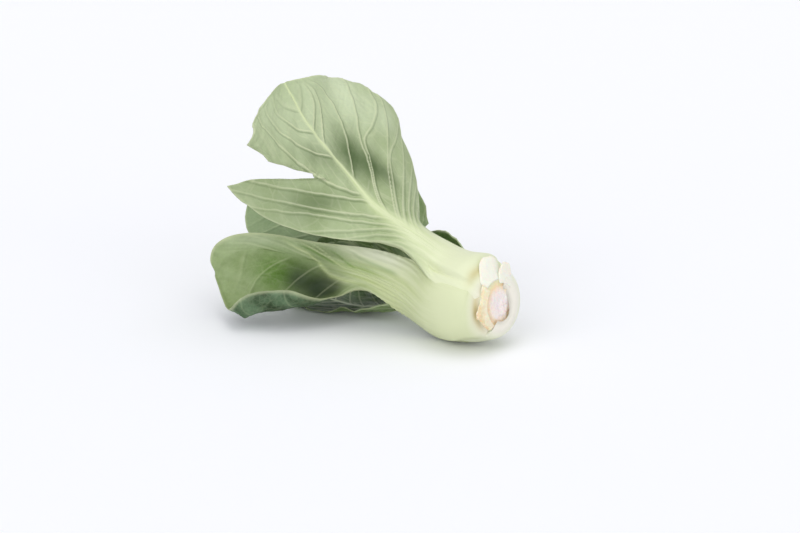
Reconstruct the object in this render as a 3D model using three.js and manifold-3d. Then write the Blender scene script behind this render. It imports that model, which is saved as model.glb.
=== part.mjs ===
// One head of baby bok choy lying on its side, millimetres, +Z up.
// The head's axis runs from the cut end (+X) up to the leaf tips (-X). Every leaf is one thin
// solid, petiole and blade together, grown on a surface that is set out along the axis.
import * as THREE from "three";
import { mergeVertices } from "three/addons/utils/BufferGeometryUtils.js";
import Module from "manifold-3d";

// ---- the head as a whole ----
const INCLINE = THREE.MathUtils.degToRad(11); // how far the axis rises towards the tips
const CUT_HEIGHT = 28.5; // middle of the cut end above the surface
const SAG = 10; // the bulb hangs this far below the line of the cut end
const SAG_LENGTH = 28;
const GAP = 0.5; // clearance between pieces that touch
const PRESS = 1.5; // a leaf that reaches the surface flattens over this height
const COLOURS = { leaf: 0x8fa871, inner: 0x9db37c, base: 0xeee4da, stub: 0xf0f0e6 };

// ---- how a leaf is meshed ----
const ROWS = 17;
const COLUMNS = 10; // across a leaf: the outer ones have more
const TIP_ANGLE = THREE.MathUtils.degToRad(84); // rows crowd on an arc towards the round tip
const SECTION_STEPS = 24;
const SQUARE_FROM = 0.35; // sections turn from square to the axis to square to the midrib by here
const LIP_POWER = 3; // how close to the margin the extra turn of a lip gathers

// ---- the axis ----
const AXIS = new THREE.Vector3(-Math.cos(INCLINE), 0, Math.sin(INCLINE));
const UPWARD = new THREE.Vector3(Math.sin(INCLINE), 0, Math.cos(INCLINE));
const NEAR = new THREE.Vector3(0, -1, 0);
const CUT_CENTRE = new THREE.Vector3(0, 0, CUT_HEIGHT);

const radians = THREE.MathUtils.degToRad;

// Unit vector away from the axis: 0 degrees is upward, 90 degrees is towards -Y.
function radial(degrees) {
  const a = radians(degrees);
  return UPWARD.clone()
    .multiplyScalar(Math.cos(a))
    .addScaledVector(NEAR, Math.sin(a));
}

// The curved base: everything sinks as it leaves the cut end, and the cross-sections turn with
// the bent axis.
function sagged(point) {
  const offset = point.clone().sub(CUT_CENTRE);
  const fade = Math.exp(-offset.dot(AXIS) / SAG_LENGTH);
  const bend = Math.atan((SAG / SAG_LENGTH) * fade);
  const height = offset.dot(UPWARD);
  return point
    .addScaledVector(UPWARD, height * (Math.cos(bend) - 1) - SAG * (1 - fade))
    .addScaledVector(AXIS, height * Math.sin(bend));
}

// Height above the surface, kept at least `floor`.
function pressed(z, floor) {
  return z > floor + PRESS ? z : floor + PRESS * Math.exp((z - floor - PRESS) / PRESS);
}

// Smooth value at t = 0..1 through evenly spaced values (Catmull-Rom).
function between(values, t) {
  const n = values.length - 1;
  const x = THREE.MathUtils.clamp(t, 0, 1) * n;
  const i = Math.min(Math.floor(x), n - 1);
  const w = x - i;
  const p1 = values[i];
  const p2 = values[i + 1];
  const p0 = i > 0 ? values[i - 1] : 2 * p1 - p2;
  const p3 = i + 2 <= n ? values[i + 2] : 2 * p2 - p1;
  return (
    0.5 *
    (2 * p1 +
      (p2 - p0) * w +
      (2 * p0 - 5 * p1 + 4 * p2 - p3) * w ** 2 +
      (3 * p1 - p0 - 3 * p2 + p3) * w ** 3)
  );
}

// Value on straight lines through [t, value] pairs, 1 outside them.
function onLines(pairs, t) {
  for (let i = 1; i < pairs.length; i++) {
    const [t0, k0] = pairs[i - 1];
    const [t1, k1] = pairs[i];
    if (t >= t0 && t <= t1) return k0 + ((k1 - k0) * (t - t0)) / (t1 - t0);
  }
  return 1;
}

// ---- a leaf ----
// Nine stations from the base of the petiole to the tip give, in millimetres and degrees:
// along/out: the midrib's distance up the axis and away from it; drift: its turn round the axis;
// plus/minus: half-widths on the side of growing and of falling turn; curl: how far each half
// turns in towards the axis at its margin (negative: outward); lip: an extra turn at the very
// margin; roll: the whole section's tilt; sweep: how far the rows lean to the tip, as the side
// veins do; rib: thickness at the midrib; spread: how wide the thick part is; proud: the share of
// the extra thickness that stands out on the leaf's back.
const OUTER = {
  along: [2.6, 7, 17, 34, 54, 80, 108, 134, 156],
  out: [14.4, 21.5, 26.4, 25.3, 20.2, 24, 36, 49, 60],
  drift: [0, 0, 0, 0, 0, 0, 0, 0, 0],
  plus: [20.7, 28.8, 33.4, 31, 20, 26, 38, 40, 34],
  minus: [20.7, 28.8, 33.4, 31, 20, 26, 38, 40, 34],
  curlPlus: [75, 75, 75, 66, 52, 30, 10, -10, -25],
  curlMinus: [75, 75, 75, 66, 52, 30, 10, -10, -25],
  lipPlus: [0, 0, 0, 0, 0, 0, 0, 0, 0],
  lipMinus: [0, 0, 0, 0, 0, 0, 0, 0, 0],
  roll: [0, 0, 0, 0, 0, 0, 0, 0, 0],
  sweepPlus: [0, 0, 0, 0, 15, 32, 36, 28, 5],
  sweepMinus: [0, 0, 0, 0, 15, 32, 36, 28, 5],
  rib: [5, 7, 7.5, 7, 6, 4.4, 3, 2, 1.4],
  spread: [19, 27, 30, 26, 20, 14, 8, 5, 4],
  proud: [0, 0, 0, 0, 0.25, 0.5, 0.6, 0.6, 0.6],
  round: 0.74, // the share of the length where the tip starts to round off
};
const MIDDLE = {
  ...OUTER,
  along: [8, 13, 24, 38, 56, 80, 106, 130, 150],
  out: [11, 15.8, 18, 16.2, 12.4, 14, 24, 35, 44],
  plus: [13, 19, 22, 20, 15, 21, 31, 33, 28],
  minus: [13, 19, 22, 20, 15, 21, 31, 33, 28],
  rib: [4, 5.4, 5.6, 5.2, 4.6, 3.6, 2.6, 1.8, 1.3],
  spread: [13, 19, 22, 19, 15, 11, 7, 5, 4],
};
const INNER = {
  ...OUTER,
  along: [13, 18, 27, 40, 56, 78, 101, 123, 142],
  out: [7, 9.6, 11.6, 10.8, 8, 8.6, 15, 23, 31],
  plus: [9, 12, 14.5, 14, 11, 16, 25, 27, 22],
  minus: [9, 12, 14.5, 14, 11, 16, 25, 27, 22],
  rib: [3, 4, 4.4, 4.1, 3.5, 2.8, 2.1, 1.6, 1.2],
  spread: [9, 12, 14, 12, 10, 8, 6, 5, 4],
};
const HEART = {
  ...OUTER,
  along: [17, 22, 30, 41, 55, 73, 93, 112, 128],
  out: [3.6, 5, 6, 5.8, 4.6, 5, 8, 12, 17],
  plus: [5, 6.5, 8, 8, 7, 11, 17, 19, 16],
  minus: [5, 6.5, 8, 8, 7, 11, 17, 19, 16],
  rib: [2.4, 2.8, 3, 2.9, 2.6, 2.2, 1.8, 1.4, 1.1],
  spread: [5, 6, 8, 7, 6, 5, 4, 4, 3],
};
const EDGE = 1.1; // thickness at a margin

const LEAVES = {
  leaf_under: {
    ...OUTER,
    turn: 252,
    along: [-0.5, 3.5, 15, 34, 54, 80, 108, 134, 156],
    out: [14.4, 22, 26.4, 25.3, 20.2, 24, 36, 48, 58],
    plus: [20.7, 28.8, 33.4, 38, 34, 22, 22, 30, 28],
    minus: [27, 37, 44, 36, 22, 26, 32, 32, 28],
    curlPlus: [80, 75, 75, 105, 42, 23, -15, -10, -25],
    curlMinus: [108, 108, 108, 90, 58, 30, 10, -10, -25],
    roll: [0, 0, 0, 0, -3, -3, -7, 0, 0],
    sweepPlus: [0, 0, 0, 0, 14, 25, 30, 28, 5],
    rib: [5.5, 7.5, 8, 7, 6, 4.4, 3, 2, 1.4],
    spread: [34, 40, 40, 30, 20, 14, 8, 5, 4],
  },
  leaf_top: {
    ...OUTER,
    turn: 21,
    along: [2.6, 7, 17, 37, 57, 87, 107, 135, 161],
    out: [14.4, 21.5, 26.8, 27.9, 36.6, 39.7, 48.6, 73.6, 96.5],
    drift: [2, 2, 2, -1, 4, -1, -4, -2, -5],
    plus: [12, 17, 19, 18, 12, 34, 84, 60, 34],
    minus: [18, 25, 29, 25, 25, 73, 77, 58, 20],
    curlPlus: [46, 40, 38, 35, 33, 23, -7, -24, -27],
    curlMinus: [68, 61, 58, 61, 48, 18, 5, 5, -10],
    lipPlus: [0, 0, 0, -7, -14, 4, -2, -8, -15],
    lipMinus: [0, 0, 0, -3, 3, 17, 21, 16, -2],
    roll: [0, 0, 0, -3, -3, 8, 1, -7, -7],
    sweepPlus: [0, 0, 0, -3, 10, 18, 34, 32, 14],
    sweepMinus: [0, 0, 0, 5, 28, 38, 40, 40, 85],
    // a tear: [place, share of the half-width that is left there]
    tearPlus: [
      [0.726, 1], [0.742, 0.72], [0.758, 0.28], [0.772, 0.28], [0.784, 0.5],
      [0.792, 0.64], [0.806, 0.7], [0.817, 0.84], [0.822, 0.92],
    ],
    round: 0.72,
    rows: 22,
    columns: 14,
  },
  leaf_front: {
    ...OUTER,
    turn: 104,
    along: [2.6, 7, 17, 34, 59, 89, 119, 152, 175],
    out: [14.4, 21.3, 25.4, 24.6, 16.1, 16.4, 29.7, 42.8, 59.2],
    drift: [0, 0, -3, -1, -4, -4, -8, -5, 10],
    plus: [16, 25, 32, 30, 16, 12.5, 51, 71, 71],
    minus: [15, 21, 24, 25, 19, 16, 14, 13, 20],
    curlPlus: [64, 68, 72, 64, 28, -15, -51, -43, -23],
    curlMinus: [59, 56, 55, 55, 38, 18, 10, -2, -15],
    lipPlus: [0, 0, 0, -1, -3, -43, -173, -155, -45],
    lipMinus: [0, 0, 0, 0, -3, -4, -4, -3, 3],
    roll: [0, 0, 0, -2, -9, -13, -17, -12, -13],
    sweepPlus: [0, 0, 0, 0, 8, 13, 2, 3, 11],
    sweepMinus: [0, 0, 0, 0, 11, 32, 44, 37, 1],
    round: 0.78,
    rows: 22,
    columns: 20,
  },
  leaf_third: {
    ...MIDDLE,
    turn: 52,
    along: [8, 13, 24, 38, 58, 84, 118, 152, 190],
    out: [11, 15.8, 18, 16.2, 12.4, 11, 14, 16, 12],
    plus: [13, 19, 22, 20, 15, 25, 28, 33, 36],
    minus: [13, 19, 22, 20, 15, 21, 25, 19, 10],
    curlPlus: [75, 75, 75, 66, 52, 38, 15, -10, -30],
    curlMinus: [75, 75, 75, 66, 52, 24, 6, -7, -21],
    sweepPlus: [0, 0, 0, 0, 15, 32, 30, 31, 6],
    sweepMinus: [0, 0, 0, 0, 15, 32, 41, 32, 4],
  },
  leaf_bottom: {
    ...MIDDLE,
    turn: 190,
    out: [11, 15.8, 18, 16.2, 15.2, 27.7, 39.2, 45.2, 49.2],
    curlPlus: [75, 75, 75, 66, 50, 25, 12, 10, 10],
    curlMinus: [75, 75, 75, 66, 50, 25, 12, 10, 10],
    roll: [0, 0, 0, 0, -3, -7, -9, -10, -10],
  },
  leaf_far_top: {
    ...MIDDLE,
    turn: 337,
    out: [11, 15.8, 18, 16.2, 12.4, 14, 23, 35, 44],
    plus: [13, 19, 22, 20, 12, 15, 24, 28, 24],
    minus: [13, 19, 22, 17, 10, 38, 49, 33, 28],
    curlMinus: [75, 75, 75, 66, -4, 6, -23, -10, -25],
    roll: [0, 0, 0, 0, 20, 9, 12, 0, 0],
    sweepMinus: [0, 0, 0, 0, 17, 3, 30, 28, 5],
  },
  leaf_far: {
    ...INNER,
    turn: 285,
  },
  leaf_front_low: {
    ...INNER,
    turn: 147,
  },
  leaf_inner_top: {
    ...INNER,
    turn: 10,
    plus: [9, 12, 14.5, 14, 10, 11, 16, 20, 18],
  },
  leaf_heart_far: {
    ...HEART,
    turn: 232,
  },
  leaf_heart_near: {
    ...HEART,
    turn: 95,
  },
};

// The rows' places: even along the petiole, crowding on an arc towards the round tip, with a row
// at every corner of a tear.
function rowPlaces(leaf) {
  const arc = (1 - leaf.round) * TIP_ANGLE;
  const count = leaf.rows ?? ROWS;
  const places = [];
  for (let i = 0; i <= count; i++) {
    const s = (i / count) * (leaf.round + arc);
    const angle = (s - leaf.round) / (1 - leaf.round);
    places.push(s < leaf.round ? s : leaf.round + (1 - leaf.round) * Math.sin(angle));
  }
  const tear = (leaf.tearPlus ?? []).map(([t]) => t);
  const clear = places.filter((t) => tear.every((s) => Math.abs(t - s) > 0.012));
  return [...clear, ...tear].sort((a, b) => a - b);
}

function midrib(leaf, t) {
  return CUT_CENTRE.clone()
    .addScaledVector(AXIS, between(leaf.along, t))
    .addScaledVector(radial(leaf.turn + between(leaf.drift, t)), between(leaf.out, t));
}

// One row of the leaf: the midrib point with its outward, sideways and forward directions.
function rowFrame(leaf, t) {
  const step = 1e-3;
  const point = midrib(leaf, t);
  const forward = midrib(leaf, Math.min(t + step, 1))
    .sub(midrib(leaf, Math.max(t - step, 0)))
    .normalize();
  const outward = radial(leaf.turn + between(leaf.drift, t));
  // sections stand square to the axis at the base and square to the midrib from there on
  const square = THREE.MathUtils.smoothstep(t, 0, SQUARE_FROM);
  outward.addScaledVector(forward, -square * outward.dot(forward)).normalize();
  const side = new THREE.Vector3().crossVectors(outward, forward).normalize();
  const roll = radians(between(leaf.roll, t));
  const rolledOut = outward
    .clone()
    .multiplyScalar(Math.cos(roll))
    .addScaledVector(side, Math.sin(roll));
  side.multiplyScalar(Math.cos(roll)).addScaledVector(outward, -Math.sin(roll));
  return { point, forward, outward: rolledOut, side };
}

// A point of the leaf's middle surface with its outward normal and its thickness.
function leafPoint(leaf, t, v, frame, grow) {
  const sign = v < 0 ? -1 : 1;
  const which = v < 0 ? "Minus" : "Plus";
  const cap = Math.sqrt(1 - Math.max(0, (t - leaf.round) / (1 - leaf.round)) ** 2);
  const width = between(v < 0 ? leaf.minus : leaf.plus, t) * cap;
  const left = v > 0 && leaf.tearPlus ? onLines(leaf.tearPlus, t) : 1;
  const reach = Math.abs(v) * (left + grow / width);
  const curl = radians(between(leaf["curl" + which], t));
  const lip = radians(between(leaf["lip" + which], t));
  const heading = (q) => curl * q + lip * q ** LIP_POWER;
  let across = 0;
  let inward = 0;
  for (let i = 0; i < SECTION_STEPS; i++) {
    const q = ((i + 0.5) / SECTION_STEPS) * reach;
    across += Math.cos(heading(q));
    inward += Math.sin(heading(q));
  }
  across *= (width * reach) / SECTION_STEPS;
  inward *= (width * reach) / SECTION_STEPS;
  const sweep = radians(between(leaf["sweep" + which], t) * cap);
  const lean = frame.side
    .clone()
    .multiplyScalar(sign * Math.cos(sweep))
    .addScaledVector(frame.forward, Math.sin(sweep));
  const point = frame.point
    .clone()
    .addScaledVector(lean, across)
    .addScaledVector(frame.outward, -inward);
  const normal = frame.outward
    .clone()
    .multiplyScalar(Math.cos(heading(reach)))
    .addScaledVector(lean, Math.sin(heading(reach)));
  const d = (width * reach) / between(leaf.spread, t);
  const rib = between(leaf.rib, t);
  const bare = EDGE + (rib - EDGE) * Math.exp(-1.5 * d * d);
  const thickness = bare + 2 * grow;
  point.addScaledVector(normal, (between(leaf.proud, t) - 0.5) * (bare - EDGE));
  sagged(point);
  point.z = pressed(point.z, thickness / 2);
  return { point, normal, thickness };
}

// A closed sheet between two grids of points, rows by columns.
function sheetGeometry(front, rear, rows, columns) {
  const back = front.length;
  const count = columns + 1;
  const faces = [];
  const quad = (a, b, c, d) => faces.push(a, b, c, a, c, d);
  for (let i = 0; i < rows; i++) {
    for (let j = 0; j < columns; j++) {
      const a = i * count + j;
      quad(a, a + count, a + count + 1, a + 1);
      quad(back + a, back + a + 1, back + a + count + 1, back + a + count);
    }
    const near = i * count;
    const far = near + columns;
    quad(near, back + near, back + near + count, near + count);
    quad(far, far + count, back + far + count, back + far);
  }
  const last = rows * count;
  for (let j = 0; j < columns; j++) {
    quad(j, j + 1, back + j + 1, back + j);
    quad(last + j, back + last + j, back + last + j + 1, last + j + 1);
  }
  const geometry = new THREE.BufferGeometry().setFromPoints([...front, ...rear]);
  geometry.setIndex(faces);
  return geometry;
}

// The closed geometry of a leaf, made bigger all round by `grow`.
function leafGeometry(leaf, grow = 0) {
  const rows = rowPlaces(leaf);
  const columns = leaf.columns ?? COLUMNS;
  const outside = [];
  const inside = [];
  for (const t of rows) {
    const frame = rowFrame(leaf, t);
    if (t === rows[0]) frame.point.addScaledVector(frame.forward, -grow);
    if (t === rows.at(-1)) frame.point.addScaledVector(frame.forward, grow);
    for (let j = 0; j <= columns; j++) {
      const v = (2 * j) / columns - 1;
      const { point, normal, thickness } = leafPoint(leaf, t, v, frame, grow);
      outside.push(point.clone().addScaledVector(normal, thickness / 2));
      inside.push(point.clone().addScaledVector(normal, -thickness / 2));
    }
  }
  return sheetGeometry(outside, inside, rows.length - 1, columns);
}

// ---- joins and cuts ----
const wasm = await Module();
wasm.setup();

function solidOf(geometry) {
  const bare = geometry.clone();
  bare.deleteAttribute("normal");
  bare.deleteAttribute("uv");
  const merged = mergeVertices(bare, 1e-3);
  return new wasm.Manifold(
    new wasm.Mesh({
      numProp: 3,
      vertProperties: merged.attributes.position.array,
      triVerts: new Uint32Array(merged.index.array),
    }),
  );
}

function geometryOf(solid) {
  const { vertProperties, triVerts, numProp, numVert } = solid.getMesh();
  const positions = new Float32Array(numVert * 3);
  for (let i = 0; i < numVert; i++) {
    positions.set(vertProperties.subarray(i * numProp, i * numProp + 3), i * 3);
  }
  const geometry = new THREE.BufferGeometry();
  geometry.setAttribute("position", new THREE.BufferAttribute(positions, 3));
  geometry.setIndex(new THREE.BufferAttribute(triVerts, 1));
  geometry.computeVertexNormals();
  return geometry;
}

function largestPiece(solid) {
  return solid.decompose().reduce((a, b) => (b.volume() > a.volume() ? b : a));
}

// ---- the stem base: a short cone that carries every leaf, with the cut face on its end ----
const CORE = [[0, 0.4], [8.6, 0], [13.4, 0.5], [14, 2], [12.2, 4], [8, 8], [4.6, 13], [2, 17], [0, 21]];
const CORE_SIDES = 32;

// A point given by its distance up the axis, its distance from it and its turn.
function placed(along, out, degrees) {
  const point = CUT_CENTRE.clone()
    .addScaledVector(AXIS, along)
    .addScaledVector(radial(degrees), out);
  return sagged(point);
}

function coreGeometry(grow = 0) {
  const profile = CORE.map(([out, along]) => new THREE.Vector2(out && out + grow, along));
  const geometry = new THREE.LatheGeometry(profile, CORE_SIDES);
  const position = geometry.attributes.position;
  for (let i = 0; i < position.count; i++) {
    const out = Math.hypot(position.getX(i), position.getZ(i));
    const turn = Math.atan2(position.getZ(i), position.getX(i));
    const point = placed(position.getY(i), out, THREE.MathUtils.radToDeg(turn));
    position.setXYZ(i, point.x, point.y, point.z);
  }
  return geometry;
}

// ---- stubs: what is left round the cut of the outermost leaves, snapped or trimmed off ----
// from/to: turn; along/out: the profile from the cut to the free rim; reach: how much of the
// profile is left, from one end of the stub to the other.
const STUBS = {
  stub_flap: {
    from: -18,
    to: 38,
    along: [2.2, 4.2, 6.8, 9.6, 12.6],
    out: [16.4, 20.4, 24.2, 26.9, 28.6],
    reach: [0.62, 0.72, 0.73, 0.72, 0.62, 0.43, 0.27, 0.12],
  },
  stub_front: {
    from: 39,
    to: 142,
    along: [0.2, 1.1, 2.1, 3],
    out: [14.9, 16.9, 18.9, 20.8],
    reach: [0.5, 0.34, 0.22, 0.42, 0.62, 0.42, 0.3, 0.12],
  },
  stub_tab: {
    from: -52,
    to: -7,
    along: [0.2, 0.6, 0.9, 1.2],
    out: [14.9, 18.3, 21.7, 25],
    reach: [0.15, 0.52, 0.94, 0.88, 0.3],
  },
};
const STUB_THICKNESS = 1.7;
const STUB_ROWS = 6;
const STUB_STEP = 6; // degrees between its columns

function stubGeometry(stub, grow = 0) {
  const columns = Math.ceil((stub.to - stub.from) / STUB_STEP);
  const outside = [];
  const inside = [];
  for (let i = 0; i <= STUB_ROWS; i++) {
    for (let j = 0; j <= columns; j++) {
      const u = j / columns;
      const w = (i / STUB_ROWS) * between(stub.reach, u);
      const slopeAlong = between(stub.along, w + 0.01) - between(stub.along, w - 0.01);
      const slopeOut = between(stub.out, w + 0.01) - between(stub.out, w - 0.01);
      const length = Math.hypot(slopeAlong, slopeOut);
      const beyond = (((2 * i) / STUB_ROWS - 1) * grow) / length;
      const along = between(stub.along, w) + beyond * slopeAlong;
      const out = between(stub.out, w) + beyond * slopeOut;
      const k = (STUB_THICKNESS / 2 + grow) / length;
      const edge = THREE.MathUtils.radToDeg(grow / out);
      const turn = stub.from - edge + u * (stub.to - stub.from + 2 * edge);
      outside.push(placed(along - k * slopeOut, out + k * slopeAlong, turn));
      inside.push(placed(along + k * slopeOut, out - k * slopeAlong, turn));
    }
  }
  return sheetGeometry(outside, inside, STUB_ROWS, columns);
}

// ---- the head: outer pieces keep their shape and inner ones are cut clear of them ----
const cutters = [];
const head = new THREE.Group();

function add(name, solid, colour, roughness) {
  const material = new THREE.MeshStandardMaterial({ color: colour, roughness, metalness: 0 });
  const mesh = new THREE.Mesh(geometryOf(solid), material);
  mesh.name = name;
  head.add(mesh);
}

add("stem_base", solidOf(coreGeometry()), COLOURS.base, 0.6);
cutters.push(solidOf(coreGeometry(GAP)));
for (const [name, stub] of Object.entries(STUBS)) {
  add(name, cutClear(solidOf(stubGeometry(stub))), COLOURS.stub, 0.5);
  cutters.push(solidOf(stubGeometry(stub, GAP)));
}

function cutClear(solid, ...more) {
  const cut = [...cutters, ...more].reduce((left, cutter) => left.subtract(cutter), solid);
  return largestPiece(cut);
}

// The front leaf keeps its shape where it meets the leaf beneath, and that leaf gives way.
const overUnder = solidOf(leafGeometry(LEAVES.leaf_front, GAP));
for (const [name, leaf] of Object.entries(LEAVES)) {
  const whole = solidOf(leafGeometry(leaf));
  const solid = name === "leaf_under" ? cutClear(whole, overUnder) : cutClear(whole);
  const colour = leaf.along[0] > OUTER.along[0] + 1 ? COLOURS.inner : COLOURS.leaf;
  add(name, solid, colour, 0.5);
  cutters.push(solidOf(leafGeometry(leaf, GAP)));
}

// The origin is the middle of the footprint, on the surface that the head lies on.
const box = new THREE.Box3().setFromObject(head);
const middle = box.getCenter(new THREE.Vector3());
head.position.set(-middle.x, -middle.y, -box.min.z);

const part = new THREE.Group();
part.add(head);

export default part;
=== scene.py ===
# %% [markdown]
# # A head of baby bok choy
# The vegetable is a rosette: leaves in rings on a very short stem, each with a thick pale
# stalk, the petiole, that widens into a thin green blade. It lies on its side, with the cut
# stem to the right. The CAD model fixes the size and the place of every leaf; this script
# makes each one again with veins, ruffles and colour.

# %% Load the frame
import math

import bpy
import numpy as np
from mathutils import Matrix, Vector
from mathutils.kdtree import KDTree


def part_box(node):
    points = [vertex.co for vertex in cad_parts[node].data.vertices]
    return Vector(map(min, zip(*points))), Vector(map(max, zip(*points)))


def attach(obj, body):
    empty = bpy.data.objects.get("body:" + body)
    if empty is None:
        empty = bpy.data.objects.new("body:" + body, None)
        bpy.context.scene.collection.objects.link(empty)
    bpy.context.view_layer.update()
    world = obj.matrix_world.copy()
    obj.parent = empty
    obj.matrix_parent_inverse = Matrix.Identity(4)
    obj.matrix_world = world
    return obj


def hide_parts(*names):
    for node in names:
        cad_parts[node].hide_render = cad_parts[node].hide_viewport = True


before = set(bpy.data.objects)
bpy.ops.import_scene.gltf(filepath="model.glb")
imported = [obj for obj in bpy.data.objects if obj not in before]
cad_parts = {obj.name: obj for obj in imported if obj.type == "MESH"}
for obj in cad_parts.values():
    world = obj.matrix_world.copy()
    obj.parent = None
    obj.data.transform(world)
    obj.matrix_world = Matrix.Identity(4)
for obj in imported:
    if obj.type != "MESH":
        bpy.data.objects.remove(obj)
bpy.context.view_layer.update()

# %% [markdown]
# ## The axis of the head
# A rosette is laid out round an axis, as on a lathe: a place is a distance along the axis, a
# distance out from it, and a turn round it. The base is bent, so everything sinks a little as
# it leaves the cut. Working in these terms keeps the leaves nested.

# %% The head's own directions, in millimetres
INCLINE = math.radians(11)
AXIS = np.array([-math.cos(INCLINE), 0, math.sin(INCLINE)])
UPWARD = np.array([math.sin(INCLINE), 0, math.cos(INCLINE)])
NEAR = np.array([0, -1, 0])
CUT_CENTRE = np.array([0, 0, 28.5])
SAG, SAG_LENGTH = 10, 28  # how far sections sink as they leave the cut, and over what length


def radial(turn):
    """Unit vectors away from the axis; 0 degrees is up and 90 is towards -Y."""
    turn = np.radians(np.asarray(turn, float))[..., None]
    return np.cos(turn) * UPWARD + np.sin(turn) * NEAR


def sagged(points):
    """Bends the base: sections sink as they leave the cut and turn with the bent axis."""
    height = (points - CUT_CENTRE) @ UPWARD
    fade = np.exp(-((points - CUT_CENTRE) @ AXIS) / SAG_LENGTH)
    bend = np.arctan(SAG / SAG_LENGTH * fade)
    lift = height * (np.cos(bend) - 1) - SAG * (1 - fade)
    return points + lift[..., None] * UPWARD + (height * np.sin(bend))[..., None] * AXIS


def placed(along, out, turn):
    """A point of the bent head from its place along, out from and round the axis."""
    along, out = np.asarray(along, float)[..., None], np.asarray(out, float)[..., None]
    return sagged(CUT_CENTRE + along * AXIS + out * radial(turn))


print("the axis points to", AXIS.round(3))

# %% The stem's profile, and where the CAD model put it
# mm out from the axis and along it, from the middle of the cut to the stem's apex
CORE = np.array([(0, 0.4), (8.6, 0), (13.4, 0.5), (14, 2), (12.2, 4), (8, 8), (4.6, 13), (2, 17), (0, 21)])
CORE_TURNS = np.arange(0, 360, 360 / 32)  # the CAD stem is turned with 32 sides
core_rings = placed(CORE[:, None, 1], CORE[:, None, 0], CORE_TURNS[None, :])
SHIFT = 1000 * np.array(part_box("stem_base")[0]) - core_rings.reshape(-1, 3).min(0)
print("shift of the head in mm:", SHIFT.round(2))


def to_frame(points):
    """Head millimetres to the frame's metres."""
    return (points + SHIFT) / 1000


# %% [markdown]
# ## A leaf as one surface
# A leaf could be modelled by pushing a grid about by hand, or sculpted. Here each leaf is a
# grid computed from a few profiles: nine stations from the base to the tip say how far the
# midrib stands from the axis, how wide each half is and how much it curls. Smooth curves run
# through the stations, so a few numbers a leaf are enough, and the CAD model uses the same
# ones.

# %% Smooth curves through evenly spaced stations
def between(values, t):
    """Catmull-Rom through values at t = 0..1."""
    p = np.asarray(values, float)
    x = np.clip(np.asarray(t, float), 0, 1) * (len(p) - 1)
    i = np.minimum(x.astype(int), len(p) - 2)
    w = x - i
    p = np.concatenate([[2 * p[0] - p[1]], p, [2 * p[-1] - p[-2]]])
    a, b, c, d = p[i], p[i + 1], p[i + 2], p[i + 3]
    return 0.5 * (
        2 * b + (c - a) * w + (2 * a - 5 * b + 4 * c - d) * w**2 + (3 * b - a - 3 * c + d) * w**3
    )


def unit(v):
    """Vectors of length one."""
    return v / np.linalg.norm(v, axis=-1, keepdims=True)


def smooth(x):
    """0 below 0, 1 above 1, and an easy rise between."""
    x = np.clip(x, 0, 1)
    return x * x * (3 - 2 * x)


print("a quarter of the way up a smooth step:", smooth(0.25))

# %% The midrib, and the directions of each row across it
SQUARE_FROM = 0.35  # sections turn from square to the axis to square to the midrib by here


def midrib(leaf, t):
    """Points of the midrib, before the base is bent."""
    turn = leaf["turn"] + between(leaf["drift"], t)
    along, out = between(leaf["along"], t), between(leaf["out"], t)
    return CUT_CENTRE + along[:, None] * AXIS + out[:, None] * radial(turn)


def row_directions(leaf, t):
    """Outward, sideways (towards growing turn) and forward unit vectors of each row."""
    step = 1e-3
    forward = unit(midrib(leaf, np.minimum(t + step, 1)) - midrib(leaf, np.maximum(t - step, 0)))
    outward = radial(leaf["turn"] + between(leaf["drift"], t))
    square = smooth(t / SQUARE_FROM)[:, None]
    outward = unit(outward - square * (outward * forward).sum(1, keepdims=True) * forward)
    side = unit(np.cross(outward, forward))
    roll = np.radians(between(leaf["roll"], t))[:, None]
    return (
        np.cos(roll) * outward + np.sin(roll) * side,
        np.cos(roll) * side - np.sin(roll) * outward,
        forward,
    )


def tip_cap(leaf, t):
    """Rows narrow along an ellipse towards the tip."""
    x = np.clip((t - leaf["round"]) / (1 - leaf["round"]), 0, 1)
    return np.sqrt(1 - x * x)


print("rows stand square to the midrib from t =", SQUARE_FROM)

# %% Half a leaf, from the midrib to a margin
SECTION_STEPS = 96
LIP_POWER = 3  # how close to the margin a lip's extra turn gathers


def leaf_half(leaf, t, reach, side):
    """One half of the leaf: points, normals and distances from the midrib at the given shares
    of the half-width (an array of rows by columns)."""
    outward, sideways, forward = row_directions(leaf, t)
    sign = 1 if side == "plus" else -1
    width = between(leaf[side], t) * tip_cap(leaf, t)
    curl = np.radians(between(leaf["curl_" + side], t))[:, None]
    lip = np.radians(between(leaf["lip_" + side], t))[:, None]
    q = (np.arange(SECTION_STEPS) + 0.5) / SECTION_STEPS
    heading = curl * q + lip * q**LIP_POWER
    zero = np.zeros((len(t), 1))
    across = np.concatenate([zero, np.cumsum(np.cos(heading), 1)], 1) / SECTION_STEPS
    inward = np.concatenate([zero, np.cumsum(np.sin(heading), 1)], 1) / SECTION_STEPS
    x = np.clip(reach, 0, 1) * SECTION_STEPS
    i = np.minimum(x.astype(int), SECTION_STEPS - 1)
    w = x - i
    row = np.arange(len(t))[:, None]
    across = (1 - w) * across[row, i] + w * across[row, i + 1]
    inward = (1 - w) * inward[row, i] + w * inward[row, i + 1]
    heading = (curl * reach + lip * reach**LIP_POWER)[..., None]
    sweep = np.radians(between(leaf["sweep_" + side], t) * tip_cap(leaf, t))[:, None]
    lean = (sign * np.cos(sweep) * sideways + np.sin(sweep) * forward)[:, None, :]
    outward = outward[:, None, :]
    points = (
        midrib(leaf, t)[:, None, :]
        + (width[:, None] * across)[..., None] * lean
        - (width[:, None] * inward)[..., None] * outward
    )
    normals = np.cos(heading) * outward + np.sin(heading) * lean
    return points, normals, width[:, None] * reach


print("steps along a half section:", SECTION_STEPS)

# %% Both halves, as the middle of a slab
EDGE = 1.1  # thickness of the CAD sheet at a margin


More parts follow.
